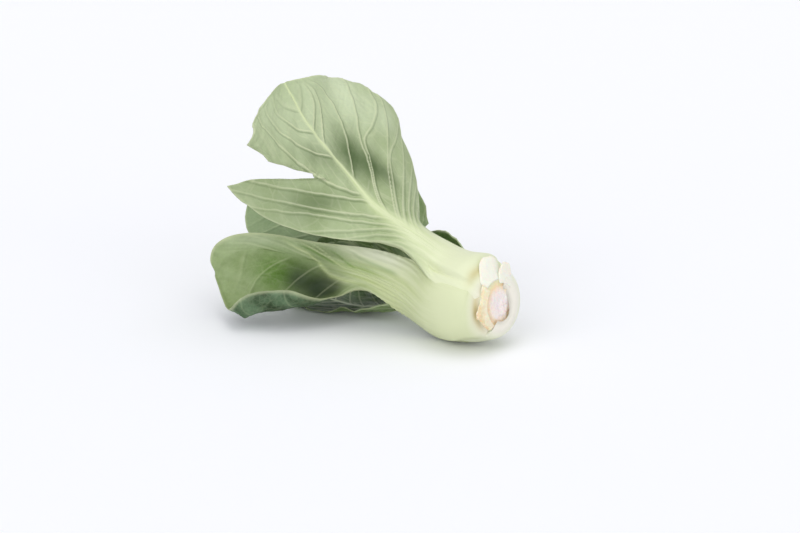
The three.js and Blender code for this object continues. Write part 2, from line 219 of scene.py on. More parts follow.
def torn(leaf, side, t):
    """The share of a half that a tear leaves."""
    tear = leaf.get("tear_" + side)
    return np.interp(t, *zip(*tear)) if tear else np.ones(len(t))


def leaf_skin(leaf, t, v, edge=EDGE):
    """The slab's middle, its normals, its thickness and the signed distance from the midrib."""
    shape = (len(t), len(v))
    points, normals = np.zeros(shape + (3,)), np.zeros(shape + (3,))
    across = np.zeros(shape)
    for side, sign in (("minus", -1), ("plus", 1)):
        columns = np.where(v * sign >= 0)[0]
        reach = np.abs(v[columns])[None, :] * torn(leaf, side, t)[:, None]
        p, n, d = leaf_half(leaf, t, reach, side)
        points[:, columns], normals[:, columns], across[:, columns] = p, n, sign * d
    rib, spread = between(leaf["rib"], t)[:, None], between(leaf["spread"], t)[:, None]
    thick = edge + (rib - edge) * np.exp(-1.5 * (across / spread) ** 2)
    proud = between(leaf["proud"], t)[:, None]
    points = sagged(points + ((proud - 0.5) * (thick - edge))[..., None] * normals)
    return points, normals, thick, across


print("margin of the CAD sheet:", EDGE, "mm")

# %% [markdown]
# ## The stations of the leaves
# A real head has its oldest leaves outside, standing widest, and a heart of small upright ones.
# Four kinds follow that: outer, middle, inner and heart. Every leaf starts from its kind and
# states only what it does in its own way, such as the top leaf's tear.

# %% Four kinds of leaf
# along/out: the midrib's distance up the axis and away from it, in mm; drift: its turn round the
# axis; plus/minus: half-widths; curl: how far a half turns inwards at its margin, in degrees;
# lip: an extra turn at the very margin; roll: the tilt of the whole section; sweep: how far the
# rows lean to the tip; rib/spread: thickness and width of the thick part; proud: how much of it
# stands out on the back; tear: places t and the share of the width left there; round: where the
# tip begins; blade: where the stalk starts to turn into blade.
# In mm again: pale/pale_at: half-width and middle of what stays pale; rim: the width of the pale margin,
# a painted highlight; ruffle/frill: height of the waves and of the fine crimps at a margin; tuck: how far
# a margin under a neighbour is pressed in. veins: how strongly the veins stand out, up to 1.
FLAT = [0] * 9
OUTER = dict(
    along=[2.6, 7, 17, 34, 54, 80, 108, 134, 156],
    out=[14.4, 21.5, 26.4, 25.3, 20.2, 24, 36, 49, 60], drift=FLAT,
    plus=[20.7, 28.8, 33.4, 31, 20, 26, 38, 40, 34],
    minus=[20.7, 28.8, 33.4, 31, 20, 26, 38, 40, 34],
    curl_plus=[75, 75, 75, 66, 52, 30, 10, -10, -25],
    curl_minus=[75, 75, 75, 66, 52, 30, 10, -10, -25],
    lip_plus=FLAT, lip_minus=FLAT, roll=FLAT,
    sweep_plus=[0, 0, 0, 0, 15, 32, 36, 28, 5], sweep_minus=[0, 0, 0, 0, 15, 32, 36, 28, 5],
    rib=[5, 7, 7.5, 7, 6, 4.4, 3, 2, 1.4], spread=[19, 27, 30, 26, 20, 14, 8, 5, 4],
    proud=[0, 0, 0, 0, 0.25, 0.5, 0.6, 0.6, 0.6], round=0.74, blade=0.42,
    pale=[40, 40, 36, 24, 9, 4, 2.2, 1.3, 0.7], pale_at=FLAT, rim=1.6,
    ruffle=1.3, frill=0.2, tuck=0, veins=0.6,
)
MIDDLE = dict(
    OUTER,
    along=[8, 13, 24, 38, 56, 80, 106, 130, 150], out=[11, 15.8, 18, 16.2, 12.4, 14, 24, 35, 44],
    plus=[13, 19, 22, 20, 15, 21, 31, 33, 28], minus=[13, 19, 22, 20, 15, 21, 31, 33, 28],
    rib=[4, 5.4, 5.6, 5.2, 4.6, 3.6, 2.6, 1.8, 1.3], spread=[13, 19, 22, 19, 15, 11, 7, 5, 4],
)
INNER = dict(
    OUTER,
    along=[13, 18, 27, 40, 56, 78, 101, 123, 142], out=[7, 9.6, 11.6, 10.8, 8, 8.6, 15, 23, 31],
    plus=[9, 12, 14.5, 14, 11, 16, 25, 27, 22], minus=[9, 12, 14.5, 14, 11, 16, 25, 27, 22],
    rib=[3, 4, 4.4, 4.1, 3.5, 2.8, 2.1, 1.6, 1.2], spread=[9, 12, 14, 12, 10, 8, 6, 5, 4],
)
HEART = dict(
    OUTER,
    along=[17, 22, 30, 41, 55, 73, 93, 112, 128], out=[3.6, 5, 6, 5.8, 4.6, 5, 8, 12, 17],
    plus=[5, 6.5, 8, 8, 7, 11, 17, 19, 16], minus=[5, 6.5, 8, 8, 7, 11, 17, 19, 16],
    rib=[2.4, 2.8, 3, 2.9, 2.6, 2.2, 1.8, 1.4, 1.1], spread=[5, 6, 8, 7, 6, 5, 4, 4, 3],
)
print("stations a leaf:", len(OUTER["along"]))

# %% The leaves themselves, from the outside in
LEAVES = dict(
    leaf_under=dict(
        OUTER,
        turn=252, along=[-0.5, 3.5, 15, 34, 54, 80, 108, 134, 156],
        out=[14.4, 22, 26.4, 25.3, 20.2, 24, 36, 48, 58],
        plus=[20.7, 28.8, 33.4, 38, 34, 22, 22, 30, 28], minus=[27, 37, 44, 36, 22, 26, 32, 32, 28],
        curl_plus=[80, 75, 75, 105, 42, 23, -15, -10, -25],
        curl_minus=[108, 108, 108, 90, 58, 30, 10, -10, -25], roll=[0, 0, 0, 0, -3, -3, -7, 0, 0],
        sweep_plus=[0, 0, 0, 0, 14, 25, 30, 28, 5], rib=[5.5, 7.5, 8, 7, 6, 4.4, 3, 2, 1.4],
        spread=[34, 40, 40, 30, 20, 14, 8, 5, 4],
    ),
    leaf_top=dict(
        OUTER,
        turn=21, along=[2.6, 7, 17, 37, 57, 87, 107, 135, 161],
        out=[14.4, 21.5, 26.8, 27.9, 36.6, 39.7, 48.6, 73.6, 96.5],
        drift=[2, 2, 2, -1, 4, -1, -4, -2, -5], plus=[12, 17, 19, 18, 12, 34, 84, 60, 34],
        minus=[18, 25, 29, 25, 25, 73, 77, 58, 20],
        curl_plus=[46, 40, 38, 35, 33, 23, -7, -24, -27],
        curl_minus=[68, 61, 58, 61, 48, 18, 5, 5, -10], lip_plus=[0, 0, 0, -7, -14, 4, -2, -8, -15],
        lip_minus=[0, 0, 0, -3, 3, 17, 21, 16, -2], roll=[0, 0, 0, -3, -3, 8, 1, -7, -7],
        sweep_plus=[0, 0, 0, -3, 10, 18, 34, 32, 14], sweep_minus=[0, 0, 0, 5, 28, 38, 40, 40, 85],
        tear_plus=[
            [0.726, 1], [0.742, 0.72], [0.758, 0.28], [0.772, 0.28], [0.784, 0.5],
            [0.792, 0.64], [0.806, 0.7], [0.817, 0.84], [0.822, 0.92],
        ],
        round=0.72, ruffle=0.35, veins=1,
    ),
    leaf_front=dict(
        OUTER,
        turn=104, along=[2.6, 7, 17, 34, 59, 89, 119, 152, 175],
        out=[14.4, 21.3, 25.4, 24.6, 16.1, 16.4, 29.7, 42.8, 59.2],
        drift=[0, 0, -3, -1, -4, -4, -8, -5, 10], plus=[16, 25, 32, 30, 16, 12.5, 51, 71, 71],
        minus=[15, 21, 24, 25, 19, 16, 14, 13, 20],
        curl_plus=[64, 68, 72, 64, 28, -15, -51, -43, -23],
        curl_minus=[59, 56, 55, 55, 38, 18, 10, -2, -15],
        lip_plus=[0, 0, 0, -1, -3, -43, -173, -155, -45], lip_minus=[0, 0, 0, 0, -3, -4, -4, -3, 3],
        roll=[0, 0, 0, -2, -9, -13, -17, -12, -13], sweep_plus=[0, 0, 0, 0, 8, 13, 2, 3, 11],
        sweep_minus=[0, 0, 0, 0, 11, 32, 44, 37, 1], round=0.78, ruffle=0.5, veins=0.3, tuck=2.4,
        frill=1, blade=0.6, pale=[40, 40, 36, 30, 12, 5, 3, 2, 1],
        pale_at=[0, 0, 0, 0, -12, -15, -20, -22, -22], rim=3,
    ),
    leaf_third=dict(
        MIDDLE,
        turn=52, along=[8, 13, 24, 38, 58, 84, 118, 152, 190],
        out=[11, 15.8, 18, 16.2, 12.4, 11, 14, 16, 12], plus=[13, 19, 22, 20, 15, 25, 28, 33, 36],
        minus=[13, 19, 22, 20, 15, 21, 25, 19, 10],
        curl_plus=[75, 75, 75, 66, 52, 38, 15, -10, -30],
        curl_minus=[75, 75, 75, 66, 52, 24, 6, -7, -21], sweep_plus=[0, 0, 0, 0, 15, 32, 30, 31, 6],
        sweep_minus=[0, 0, 0, 0, 15, 32, 41, 32, 4], ruffle=0.8,
    ),
    leaf_bottom=dict(
        MIDDLE,
        turn=190, out=[11, 15.8, 18, 16.2, 15.2, 27.7, 39.2, 45.2, 49.2],
        curl_plus=[75, 75, 75, 66, 50, 25, 12, 10, 10],
        curl_minus=[75, 75, 75, 66, 50, 25, 12, 10, 10], roll=[0, 0, 0, 0, -3, -7, -9, -10, -10],
    ),
    leaf_far_top=dict(
        MIDDLE,
        turn=337, out=[11, 15.8, 18, 16.2, 12.4, 14, 23, 35, 44],
        plus=[13, 19, 22, 20, 12, 15, 24, 28, 24], minus=[13, 19, 22, 17, 10, 38, 49, 33, 28],
        curl_minus=[75, 75, 75, 66, -4, 6, -23, -10, -25], roll=[0, 0, 0, 0, 20, 9, 12, 0, 0],
        sweep_minus=[0, 0, 0, 0, 17, 3, 30, 28, 5],
        tear_minus=[
            [0.53, 1], [0.55, 0.88], [0.57, 0.7], [0.59, 0.58],
            [0.61, 0.52], [0.65, 0.52], [0.668, 0.62], [0.68, 1],
        ],
    ),
    leaf_far=dict(INNER, turn=285),
    leaf_front_low=dict(INNER, turn=147),
    leaf_inner_top=dict(
        INNER,
        turn=10, plus=[9, 12, 14.5, 14, 10, 11, 16, 20, 18],
    ),
    leaf_heart_far=dict(HEART, turn=232),
    leaf_heart_near=dict(HEART, turn=95),
)
print(len(LEAVES), "leaves")

# %% [markdown]
# ## Veins
# A vein is a strand that stands proud on a leaf's back and is sunk on its face. Veins could be
# painted, or modelled as tubes. Here each one is a curve in the leaf's own coordinates: t from
# the foot to the tip, w from the midrib to the margin. Numbering the veins from the foot up
# gives every point a "vein number", such as 3.4, that runs smoothly from vein 3 to vein 4. The
# nearest whole number is the nearest vein, and both the relief and the colour follow from it.

# %% Where the side veins lie: t at w = 0, 0.2, 0.4, 0.6, 0.8 and 1
VEINS = dict(
    leaf_top=dict(
        plus=[
            [0.34, 0.37, 0.41, 0.455, 0.50, 0.54],
            [0.40, 0.43, 0.475, 0.525, 0.57, 0.605],
            [0.47, 0.50, 0.545, 0.583, 0.622, 0.654],
            [0.50, 0.54, 0.595, 0.664, 0.686, 0.70],
            [0.56, 0.60, 0.655, 0.690, 0.708, 0.722],
            [0.655, 0.70, 0.716, 0.727, 0.737, 0.745],
            [0.695, 0.748, 0.805, 0.85, 0.89, 0.93],
            [0.815, 0.832, 0.86, 0.90, 0.94, 0.97],
            [0.875, 0.888, 0.915, 0.95, 0.978, 0.992],
            [0.93, 0.94, 0.957, 0.975, 0.99, 0.998],
        ],
        minus=[
            [0.40, 0.425, 0.455, 0.49, 0.52, 0.545],
            [0.45, 0.475, 0.505, 0.53, 0.552, 0.572],
            [0.48, 0.505, 0.535, 0.557, 0.577, 0.596],
            [0.515, 0.54, 0.563, 0.586, 0.608, 0.63],
            [0.529, 0.568, 0.606, 0.639, 0.637, 0.66],
            [0.53, 0.57, 0.608, 0.663, 0.702, 0.73],
            [0.578, 0.678, 0.742, 0.732, 0.729, 0.75],
            [0.58, 0.68, 0.75, 0.77, 0.786, 0.802],
            [0.755, 0.779, 0.803, 0.85, 0.93, 0.965],
            [0.847, 0.86, 0.88, 0.915, 0.955, 0.98],
            [0.88, 0.889, 0.905, 0.935, 0.967, 0.988],
            [0.93, 0.936, 0.95, 0.965, 0.985, 0.995],
        ],
    ),
    leaf_front=dict(
        plus=[
            [0.40, 0.425, 0.46, 0.50, 0.54, 0.57],
            [0.52, 0.55, 0.585, 0.62, 0.65, 0.67],
            [0.62, 0.65, 0.685, 0.715, 0.745, 0.765],
            [0.715, 0.76, 0.79, 0.815, 0.84, 0.86],
            [0.785, 0.85, 0.90, 0.935, 0.955, 0.97],
            [0.90, 0.925, 0.95, 0.965, 0.98, 0.99],
        ],
        minus=[
            [0.36, 0.39, 0.42, 0.46, 0.50, 0.53],
            [0.43, 0.46, 0.50, 0.54, 0.58, 0.61],
            [0.50, 0.54, 0.588, 0.62, 0.655, 0.69],
            [0.60, 0.645, 0.69, 0.73, 0.765, 0.79],
            [0.72, 0.765, 0.80, 0.835, 0.865, 0.885],
            [0.82, 0.86, 0.89, 0.92, 0.945, 0.96],
            [0.91, 0.935, 0.955, 0.97, 0.985, 0.99],
        ],
    ),
)
VEIN_COUNT = 9  # a side, on the other leaves
rng = np.random.default_rng(7)
for name in LEAVES:
    if name not in VEINS:
        feet = np.linspace(0.4, 0.92, VEIN_COUNT)[:, None]
        rise = 0.16 * np.linspace(0, 1, 6) ** 0.8 * (1 - feet) / 0.6
        VEINS[name] = {
            side: feet + rise + rng.uniform(-0.012, 0.012, (VEIN_COUNT, 1)) for side in ("plus", "minus")
        }
print("veins on the top leaf:", sum(len(v) for v in VEINS["leaf_top"].values()))

# %% The vein number of any point, and the millimetres between two veins there
CLOSEST = 0.012  # in t: two veins that leave the midrib together stay this far apart
WIDEST = 60  # mm; beyond the last vein the gap has no end, so it stops here


def vein_number(curves, t, w):
    """Rises by one from each vein to the next one up."""
    step = CLOSEST * np.arange(len(curves))[:, None, None]
    at = np.maximum.accumulate(np.array([between(c, w) for c in curves]) - step, 0) + step
    at = np.concatenate([0 * at[:1] - 1, at, 0 * at[:1] + 2])
    return np.clip((t - at[:-1]) / (at[1:] - at[:-1]), 0, 1).sum(0)


def slope(points, field):
    """How much a field changes per mm over the grid's surface."""
    down, along = np.gradient(points, axis=0), np.gradient(points, axis=1)
    fd, fa = np.gradient(field, axis=0), np.gradient(field, axis=1)
    e, f, g = (down**2).sum(-1), (down * along).sum(-1), (along**2).sum(-1)
    area = np.maximum(e * g - f * f, 1e-6 * (1 + e * g))
    return np.sqrt(np.maximum(g * fd**2 - 2 * f * fd * fa + e * fa**2, 0) / area)


def among_veins(name, points, t, v):
    """Each point's vein number, the gap between its two veins and its share of the half-width."""
    number, gap, w = np.zeros_like(t), np.zeros_like(t), np.zeros_like(t)
    for side, sign in (("minus", -1), ("plus", 1)):
        half = np.where(v[0] * sign >= 0)[0]
        w[:, half] = np.abs(v[:, half]) * torn(LEAVES[name], side, t[:, 0])[:, None]
        number[:, half] = vein_number(VEINS[name][side], t[:, half], w[:, half])
        gap[:, half] = 1 / np.maximum(slope(points[:, half], number[:, half]), 1 / WIDEST)
    return number, gap, w


middle = vein_number(VEINS["leaf_top"]["plus"], np.full((1, 1), 0.7), np.full((1, 1), 0.5))
print("vein number at t = 0.7, halfway to the margin:", round(float(middle[0, 0]), 2))

# %% Soft unevenness that never repeats, from a few sine waves in seeded directions
def uneven(points, size, seed):
    """About -1..1, changing over `size` mm."""
    draw = np.random.default_rng(seed)
    total = np.zeros(points.shape[:-1])
    for _ in range(7):
        direction = unit(draw.normal(size=3))
        turns = points @ direction / (size * draw.uniform(0.7, 1.5))
        total += np.sin(2 * np.pi * turns + draw.uniform(0, 7))
    return total / 2.6


print("unevenness at the origin:", round(float(uneven(np.zeros(3), 10, 1)), 3))

# %% [markdown]
# ## The fine grid of a leaf
# The CAD leaf is a smooth sheet about a millimetre thick at its margins. The real one is finer:
# the margin of the blade is thin and ruffled, strands run down the stalk as low ridges, and the
# blade puckers between its veins. All of that is real relief here, moved along the surface's
# normal, so that it shows in outline and from every side.

# %% Rows of the grid
TIP_ANGLE = math.radians(84)  # rows crowd on an arc towards the round tip
TEAR_ROWS = 8  # rows from each corner of the top leaf's tear to the next
TEAR_CLEAR = 0.003  # the plain rows stop this far, in t, from the tear


def row_places(leaf, count):
    """The rows' places t, from the foot to the tip."""
    arc = (1 - leaf["round"]) * TIP_ANGLE
    s = np.linspace(0, leaf["round"] + arc, count + 1)
    angle = np.maximum(s - leaf["round"], 0) / (1 - leaf["round"])
    t = np.where(s < leaf["round"], s, leaf["round"] + (1 - leaf["round"]) * np.sin(angle))
    if "tear_plus" in leaf:
        corners = [place for place, _ in leaf["tear_plus"]]
        close = [np.linspace(a, b, TEAR_ROWS, endpoint=False) for a, b in zip(corners, corners[1:])]
        t = t[(t < corners[0] - TEAR_CLEAR) | (t > corners[-1] + TEAR_CLEAR)]
        t = np.sort(np.concatenate([t, *close, corners[-1:]]))
    return t


print("rows of the top leaf for a count of 100:", len(row_places(LEAVES["leaf_top"], 100)))

# %% Folds and creases
FOLD, CREASE = 0.5, 0.3  # height of a fold, depth of a crease, in mm
FOLDS = {  # half-width in mm, then t and the distance from the midrib along each fold
    "leaf_front": [
        (1.6, [(0.47, -11.7), (0.57, -10.6), (0.608, -11.4), (0.636, -13.5), (0.662, -14)]),
        (0.7, [(0.66, 1.5), (0.674, -0.7), (0.692, -3.8), (0.71, -7), (0.728, -9.2), (0.76, -13)]),
        (0.6, [(0.68, -2), (0.692, -5.1), (0.7, -8.4), (0.716, -11.4), (0.73, -14)]),
        (1.5, [(0.6, 6), (0.658, 8), (0.698, 6.4), (0.722, 2.2), (0.746, -4.6), (0.77, -6.8), (0.81, -12)]),
    ],
}
CREASES = {
    "leaf_front": [
        (1.4, [(0.5, -8), (0.552, -7.6), (0.594, -8.3), (0.62, -9.6), (0.636, -12.3), (0.66, -13.5)]),
        (1.2, [(0.68, 0), (0.69, -1.4), (0.708, -4), (0.726, -6.7), (0.746, -8.6), (0.765, -10)]),
        (1, [(0.634, -1.5), (0.646, -2.9), (0.658, -4.6), (0.668, -7.2), (0.682, -9.3), (0.695, -11)]),
    ],
}


def along_lines(lines, t, across):
    """1 on the lines and 0 off them, at places t up the leaf and `across` mm from its midrib."""
    total = np.zeros_like(t)
    for half_width, places in lines:
        taper = 0.25 * (places[-1][0] - places[0][0])
        ends = smooth((t - places[0][0]) / taper) * smooth((places[-1][0] - t) / taper)
        off = across - np.interp(t, *zip(*places))
        total = np.maximum(total, ends * np.exp(-((off / half_width) ** 2)))
    return total


print("folds:", len(FOLDS["leaf_front"]), "creases:", len(CREASES["leaf_front"]))

# %% Relief of stalk and blade, in millimetres along the normal
RIDGE_PITCH, RIDGE_HEIGHT = 2.7, 0.15  # the strands of a stalk
PUCKER = 0.55  # how far the blade sinks between two veins that are PUCKER_GAP or more apart
PUCKER_GAP = 9
DIMPLES = ((0.3, 9), (0.12, 3.6))  # height and size of the blade's own unevenness


def ridges(t, across, blade, seed):
    """Strands that wander a little and fade out where the blade starts."""
    wander = 0.5 * np.sin(across * 0.31 + seed) + 0.25 * np.sin(t * 9 + across * 0.2)
    strands = np.sin(2 * np.pi * (across / RIDGE_PITCH + wander))
    return RIDGE_HEIGHT * strands * (1 - blade) * smooth((t - 0.25) / 0.3)


def puckers(points, number, gap, seed):
    """The blade sinks between its veins and is a little uneven all over."""
    total = -PUCKER * (0.5 - 0.5 * np.cos(2 * np.pi * number)) * smooth(gap / PUCKER_GAP)
    for k, (height, size) in enumerate(DIMPLES):
        total += height * uneven(points, size, seed + k)
    return total


print("strands across a stalk 30 mm wide:", round(30 / RIDGE_PITCH))

# %% Waves and crimps of the margin
RUFFLE_LENGTHS = (31, 17)  # mm from wave to wave
CRIMP_LENGTHS = (3.7, 2.1)
CRIMPED_AT, CRIMPED_OVER = 0.54, 0.06  # in t: where a stalk widens into blade


def ruffles(t, v, length, seed):
    """Two waves of different lengths, growing towards the margin of the blade."""
    long, short = (2 * np.pi * length / each for each in RUFFLE_LENGTHS)
    waves = np.sin(long + seed) + 0.6 * np.sin(short + 2 * seed)
    near_margin = smooth((np.abs(v) - 0.5) / 0.5) ** 2
    return waves * near_margin * smooth((t - 0.48) / 0.2) * smooth((1 - t) / 0.15)


def crimps(t, v, length):
    """Fine, irregular waves at the very margin, where the stalk widens."""
    wing = smooth((np.abs(v) - 0.84) / 0.16) * np.exp(-(((t - CRIMPED_AT) / CRIMPED_OVER) ** 2))
    long, short = (2 * np.pi * length / each for each in CRIMP_LENGTHS)
    waves = np.sin(long + np.sin(length / 2.3)) + 0.5 * np.sin(short + 1)
    return wing * waves * (0.6 + 0.4 * np.sin(length / 5))


print("waves from", CRIMP_LENGTHS[1], "to", RUFFLE_LENGTHS[0], "mm long")

# %% The two faces of a leaf
FINE_EDGE = [1.0, 1.0, 1.0, 0.9, 0.75, 0.6, 0.5, 0.45, 0.4]  # margin thickness, foot to tip
VEIN_HEIGHT = 0.65  # mm, of a vein of strength 1
FOOT = 2.6  # how far a leaf's foot thickens to meet the stem


def fine_leaf(name, rows, columns):
    """The outer and inner faces of a leaf, and what its finish needs to know at each point."""
    leaf = LEAVES[name]
    seed = sum(map(ord, name))
    rows_at, columns_at = row_places(leaf, rows), np.linspace(-1, 1, columns + 1)
    edge = between(FINE_EDGE, rows_at)[:, None]
    points, normals, thick, across = leaf_skin(leaf, rows_at, columns_at, edge)
    t, v = np.meshgrid(rows_at, columns_at, indexing="ij")
    number, gap, w = among_veins(name, points, t, v)

    blade = smooth((t - leaf["blade"] + 0.1 * w) / 0.16)
    flat = 1 - np.exp(-1.2 * ((across - between(leaf["pale_at"], t)) / between(leaf["pale"], t)) ** 2)
    fold = along_lines(FOLDS.get(name, []), t, across)
    crease = along_lines(CREASES.get(name, []), t, across)
    strength = leaf["veins"] * blade * (1 - 0.6 * w) * smooth(w * 14) * smooth((1 - t) / 0.14)
    off_vein = np.abs(number - np.round(number)) * gap
    vein = VEIN_HEIGHT * strength * np.exp(-((off_vein / (0.9 - 0.3 * w)) ** 2))

    length = np.cumsum(np.linalg.norm(np.diff(points, axis=0, prepend=points[:1]), axis=-1), 0)
    bend = blade * flat * puckers(points, number, gap, seed) + FOLD * fold - CREASE * crease
    bend += leaf["ruffle"] * ruffles(t, v, length, seed) + leaf["frill"] * crimps(t, v, length)
    bend -= leaf["tuck"] * smooth((-v - 0.74) / 0.26) * smooth((0.46 - t) / 0.1)
    back = thick / 2 + vein + ridges(t, across, blade, seed) + bend
    face = bend + 0.4 * vein - thick / 2 - FOOT * smooth((0.14 - t) / 0.12)

    width = np.where(v > 0, between(leaf["plus"], t), between(leaf["minus"], t))
    margin = (1 - np.abs(v)) * width * tip_cap(leaf, t)
    # a painted highlight along the blade's margin
    rim = 0.6 * smooth(1 - margin / leaf["rim"]) * smooth((t - 0.4) / 0.1)
    facts = dict(
        t=t, v=v, across=across, number=number, gap=gap, strength=strength, blade=blade,
        flat=flat * (1 - 0.7 * fold), rim=rim, crease=crease,
    )
    return points + back[..., None] * normals, points + face[..., None] * normals, normals, facts


print("facts at each point of a blade:", ", ".join(fine_leaf("leaf_heart_far", 8, 6)[3]))

# %% [markdown]
# ## Margins that lie snug
# Low on the bulb the stalks are pressed together, and each margin lies on the back of the stalk
# under it. Separate smooth sheets would leave gaps or cut through one another there. A cloth
# simulation could close them; here each point near the seam looks up the nearest place on the
# leaf below and moves to just above it, and the very margin dips in, so that the seam closes.

# %% Settling one leaf on another
SNUG = 0.3  # mm that an overlapping margin stands above its neighbour's back
SINK = 1.1  # mm that the very margin dips into the neighbour, where the two have grown together
ASIDE = 1, 4  # mm: beyond the first the hold weakens, beyond the second there is none


def evened(field, passes=40):
    """Smooths a grid of vectors by averaging each with its neighbours."""
    for _ in range(passes):
        near = np.pad(field, ((1, 1), (1, 1), (0, 0)), mode="edge")
        across, down = near[1:-1, :-2] + near[1:-1, 2:], near[:-2, 1:-1] + near[2:, 1:-1]
        field = (across + down + 2 * field) / 6
    return field


def settle(leaf, lower, until):
    """Lays the plus margin of `leaf` on the back of `lower`; both are what fine_leaf returns,
    and `until` is the t where the margin lifts off."""
    outer, inner, normals, facts = leaf
    t, v = facts["t"], facts["v"]
    under, lean = lower[0].reshape(-1, 3), lower[2].reshape(-1, 3)
    tree = KDTree(len(lean))
    for index, point in enumerate(under):
        tree.insert(point, index)
    tree.balance()
    reach = smooth((v - 0.2) / 0.5) * (1 - smooth((t - until - 0.08) / 0.08))
    held = 1 - smooth((t - until) / 0.1)
    aim = SNUG - SINK * smooth((v - 0.7) / 0.25) * (1 - smooth((t - until + 0.1) / 0.08))
    move = np.zeros_like(outer)
    for place in zip(*np.nonzero(reach)):
        point, index, far = tree.find(outer[place])
        up = lean[index]
        height = (outer[place] - np.array(point)) @ up
        aside = math.sqrt(max(far**2 - height**2, 0))
        share = reach[place] * (1 if height < aim[place] else held[place])
        share *= 1 - smooth((aside - ASIDE[0]) / (ASIDE[1] - ASIDE[0]))
        move[place] = (aim[place] - height) * share * up
    move = evened(move)
    return outer + move, inner + move, normals, facts


print("a margin aims", SNUG, "mm above its neighbour and dips", SINK, "mm at its edge")

# %% A closed sheet from two grids
def sheet_faces(rows, columns):
    """Quads over both grids and round their four edges."""
    k = rows * columns
    i, j = np.meshgrid(np.arange(rows - 1), np.arange(columns - 1), indexing="ij")
    a = (i * columns + j).ravel()
    near, across = np.arange(rows - 1) * columns, np.arange(columns - 1)
    far, last = near + columns - 1, (rows - 1) * columns + across
    quads = [
        (a, a + columns, a + columns + 1, a + 1),
        (k + a, k + a + 1, k + a + columns + 1, k + a + columns),
        (near, k + near, k + near + columns, near + columns),
        (far, far + columns, k + far + columns, k + far),
        (across, across + 1, k + across + 1, k + across),
        (last, k + last, k + last + 1, last + 1),
    ]
    return np.concatenate([np.stack(q, 1) for q in quads]).tolist()


print("faces of a sheet of 3 by 3 points:", len(sheet_faces(3, 3)))

# %% A piece from points in head millimetres
PRESS = 1.5  # mm over which a leaf that reaches the floor flattens


def pressed(z):
    """Heights that reach the floor flatten over PRESS."""
    return np.where(z > PRESS, z, PRESS * np.exp((z - PRESS) / PRESS))


def add_piece(name, points, faces, facts, material, cad_node):
    """A smooth mesh with one number per vertex for each fact."""
    points = to_frame(points)
    points[:, 2] = pressed(1000 * points[:, 2]) / 1000
    mesh = bpy.data.meshes.new(name)
    mesh.from_pydata(points.tolist(), [], faces)
    mesh.polygons.foreach_set("use_smooth", np.ones(len(faces), bool))
    for fact, values in facts.items():
        stored = mesh.attributes.new(fact, "FLOAT", "POINT")
        stored.data.foreach_set("value", np.ravel(values).astype(np.float32))
    mesh.materials.append(material)
    piece = bpy.data.objects.new(name, mesh)
    bpy.context.scene.collection.objects.link(piece)
    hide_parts(cad_node)
    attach(piece, "root")
    print(name, sum(len(face) - 2 for face in faces), "triangles")


print("10 mm under the floor becomes", round(float(pressed(-10)), 4), "mm above it")

# %% [markdown]
# ## Finishes
# Every colour is written as an sRGB hex value and turned to linear light by one function. One
# more function adds a node with its settings and its links, so a material reads from top to
# bottom like a recipe. On a Mix node for colours, input 0 is the amount, inputs 6 and 7 are the
# two colours, and output 2 is the result.

# %% Colours and nodes
def linear(hex_colour):
    """An sRGB hex value as linear red, green, blue and an alpha of 1."""
    channels = [int(hex_colour[i : i + 2], 16) / 255 for i in (1, 3, 5)]
    return [c / 12.92 if c <= 0.04045 else ((c + 0.055) / 1.055) ** 2.4 for c in channels] + [1]


def node(tree, kind, inputs=(), **settings):
    """Adds a node; inputs are values or sockets, by place or by name."""
    made = tree.nodes.new("ShaderNode" + kind)
    for key, value in settings.items():
        setattr(made, key, value)
    for key, value in inputs.items() if isinstance(inputs, dict) else enumerate(inputs):
        if isinstance(value, bpy.types.NodeSocket):
            tree.links.new(value, made.inputs[key])
        else:
            made.inputs[key].default_value = value
    return made


def new_material(name):
    """A material without nodes, and its node tree."""
    material = bpy.data.materials.new(name)
    material.use_nodes = True
    material.node_tree.nodes.clear()
    return material, material.node_tree


print("mid grey in linear light:", round(linear("#808080")[0], 3))

# %% [markdown]
# ## Leaf: living tissue under a wax cuticle
# The stalk is water-filled, nearly white tissue that turns green up its strands. The blade's
# back is greyish because of its wax bloom, and its face is a darker, glossier green. Light
# passes through the thin blade and little through the stalk. Painting each leaf by hand would
# work too, but here the colour follows the anatomy, through numbers stored at each vertex.

# %% Stalk tissue
MM = 1000  # patterns to the millimetre, because object coordinates are in metres
FOOT_WHITE = "#F4F0E2"  # the blanched foot of a stalk
STREAKS = 0.42  # to the mm across a stalk
STREAK_ROWS = 9.0  # from foot to tip, before STREAKS: streaks come out about 40 mm long


def stalk_tissue(tree, facts, stalk, stripe):
    """Nearly white, blanched at the foot and greener up its strands."""
    rows = node(tree, "Math", (facts["t"], STREAK_ROWS), operation="MULTIPLY")
    strands = node(tree, "CombineXYZ", (facts["across"], rows.outputs[0]))
    grain = {"Vector": strands.outputs[0], "Scale": STREAKS, "Detail": 3.0, "Roughness": 0.6}
    streak = node(tree, "TexNoise", grain)
    contrast = {"Value": streak.outputs["Fac"], "From Min": 0.4, "From Max": 0.66, "To Min": 0.3}
    streaked = node(tree, "MapRange", contrast)
    rise = {"Value": facts["t"], "From Min": 0.26, "From Max": 0.62}
    greener = node(tree, "MapRange", rise, interpolation_type="SMOOTHSTEP")
    green = node(tree, "Math", (greener.outputs[0], streaked.outputs[0]), operation="MULTIPLY")
    above_foot = node(tree, "MapRange", {"Value": facts["t"], "From Min": 0.0, "From Max": 0.13})
    colour = linear(FOOT_WHITE)
    for amount, tint in ((above_foot, stalk), (green, stripe)):
        laid = {0: amount.outputs[0], 6: colour, 7: linear(tint)}
        colour = node(tree, "Mix", laid, data_type="RGBA").outputs[2]
    return colour


print("a streak is about", round(1 / STREAKS, 1), "mm wide")

# %% Blade tissue
CLOUDS = 0.055  # patches of bloom to the mm


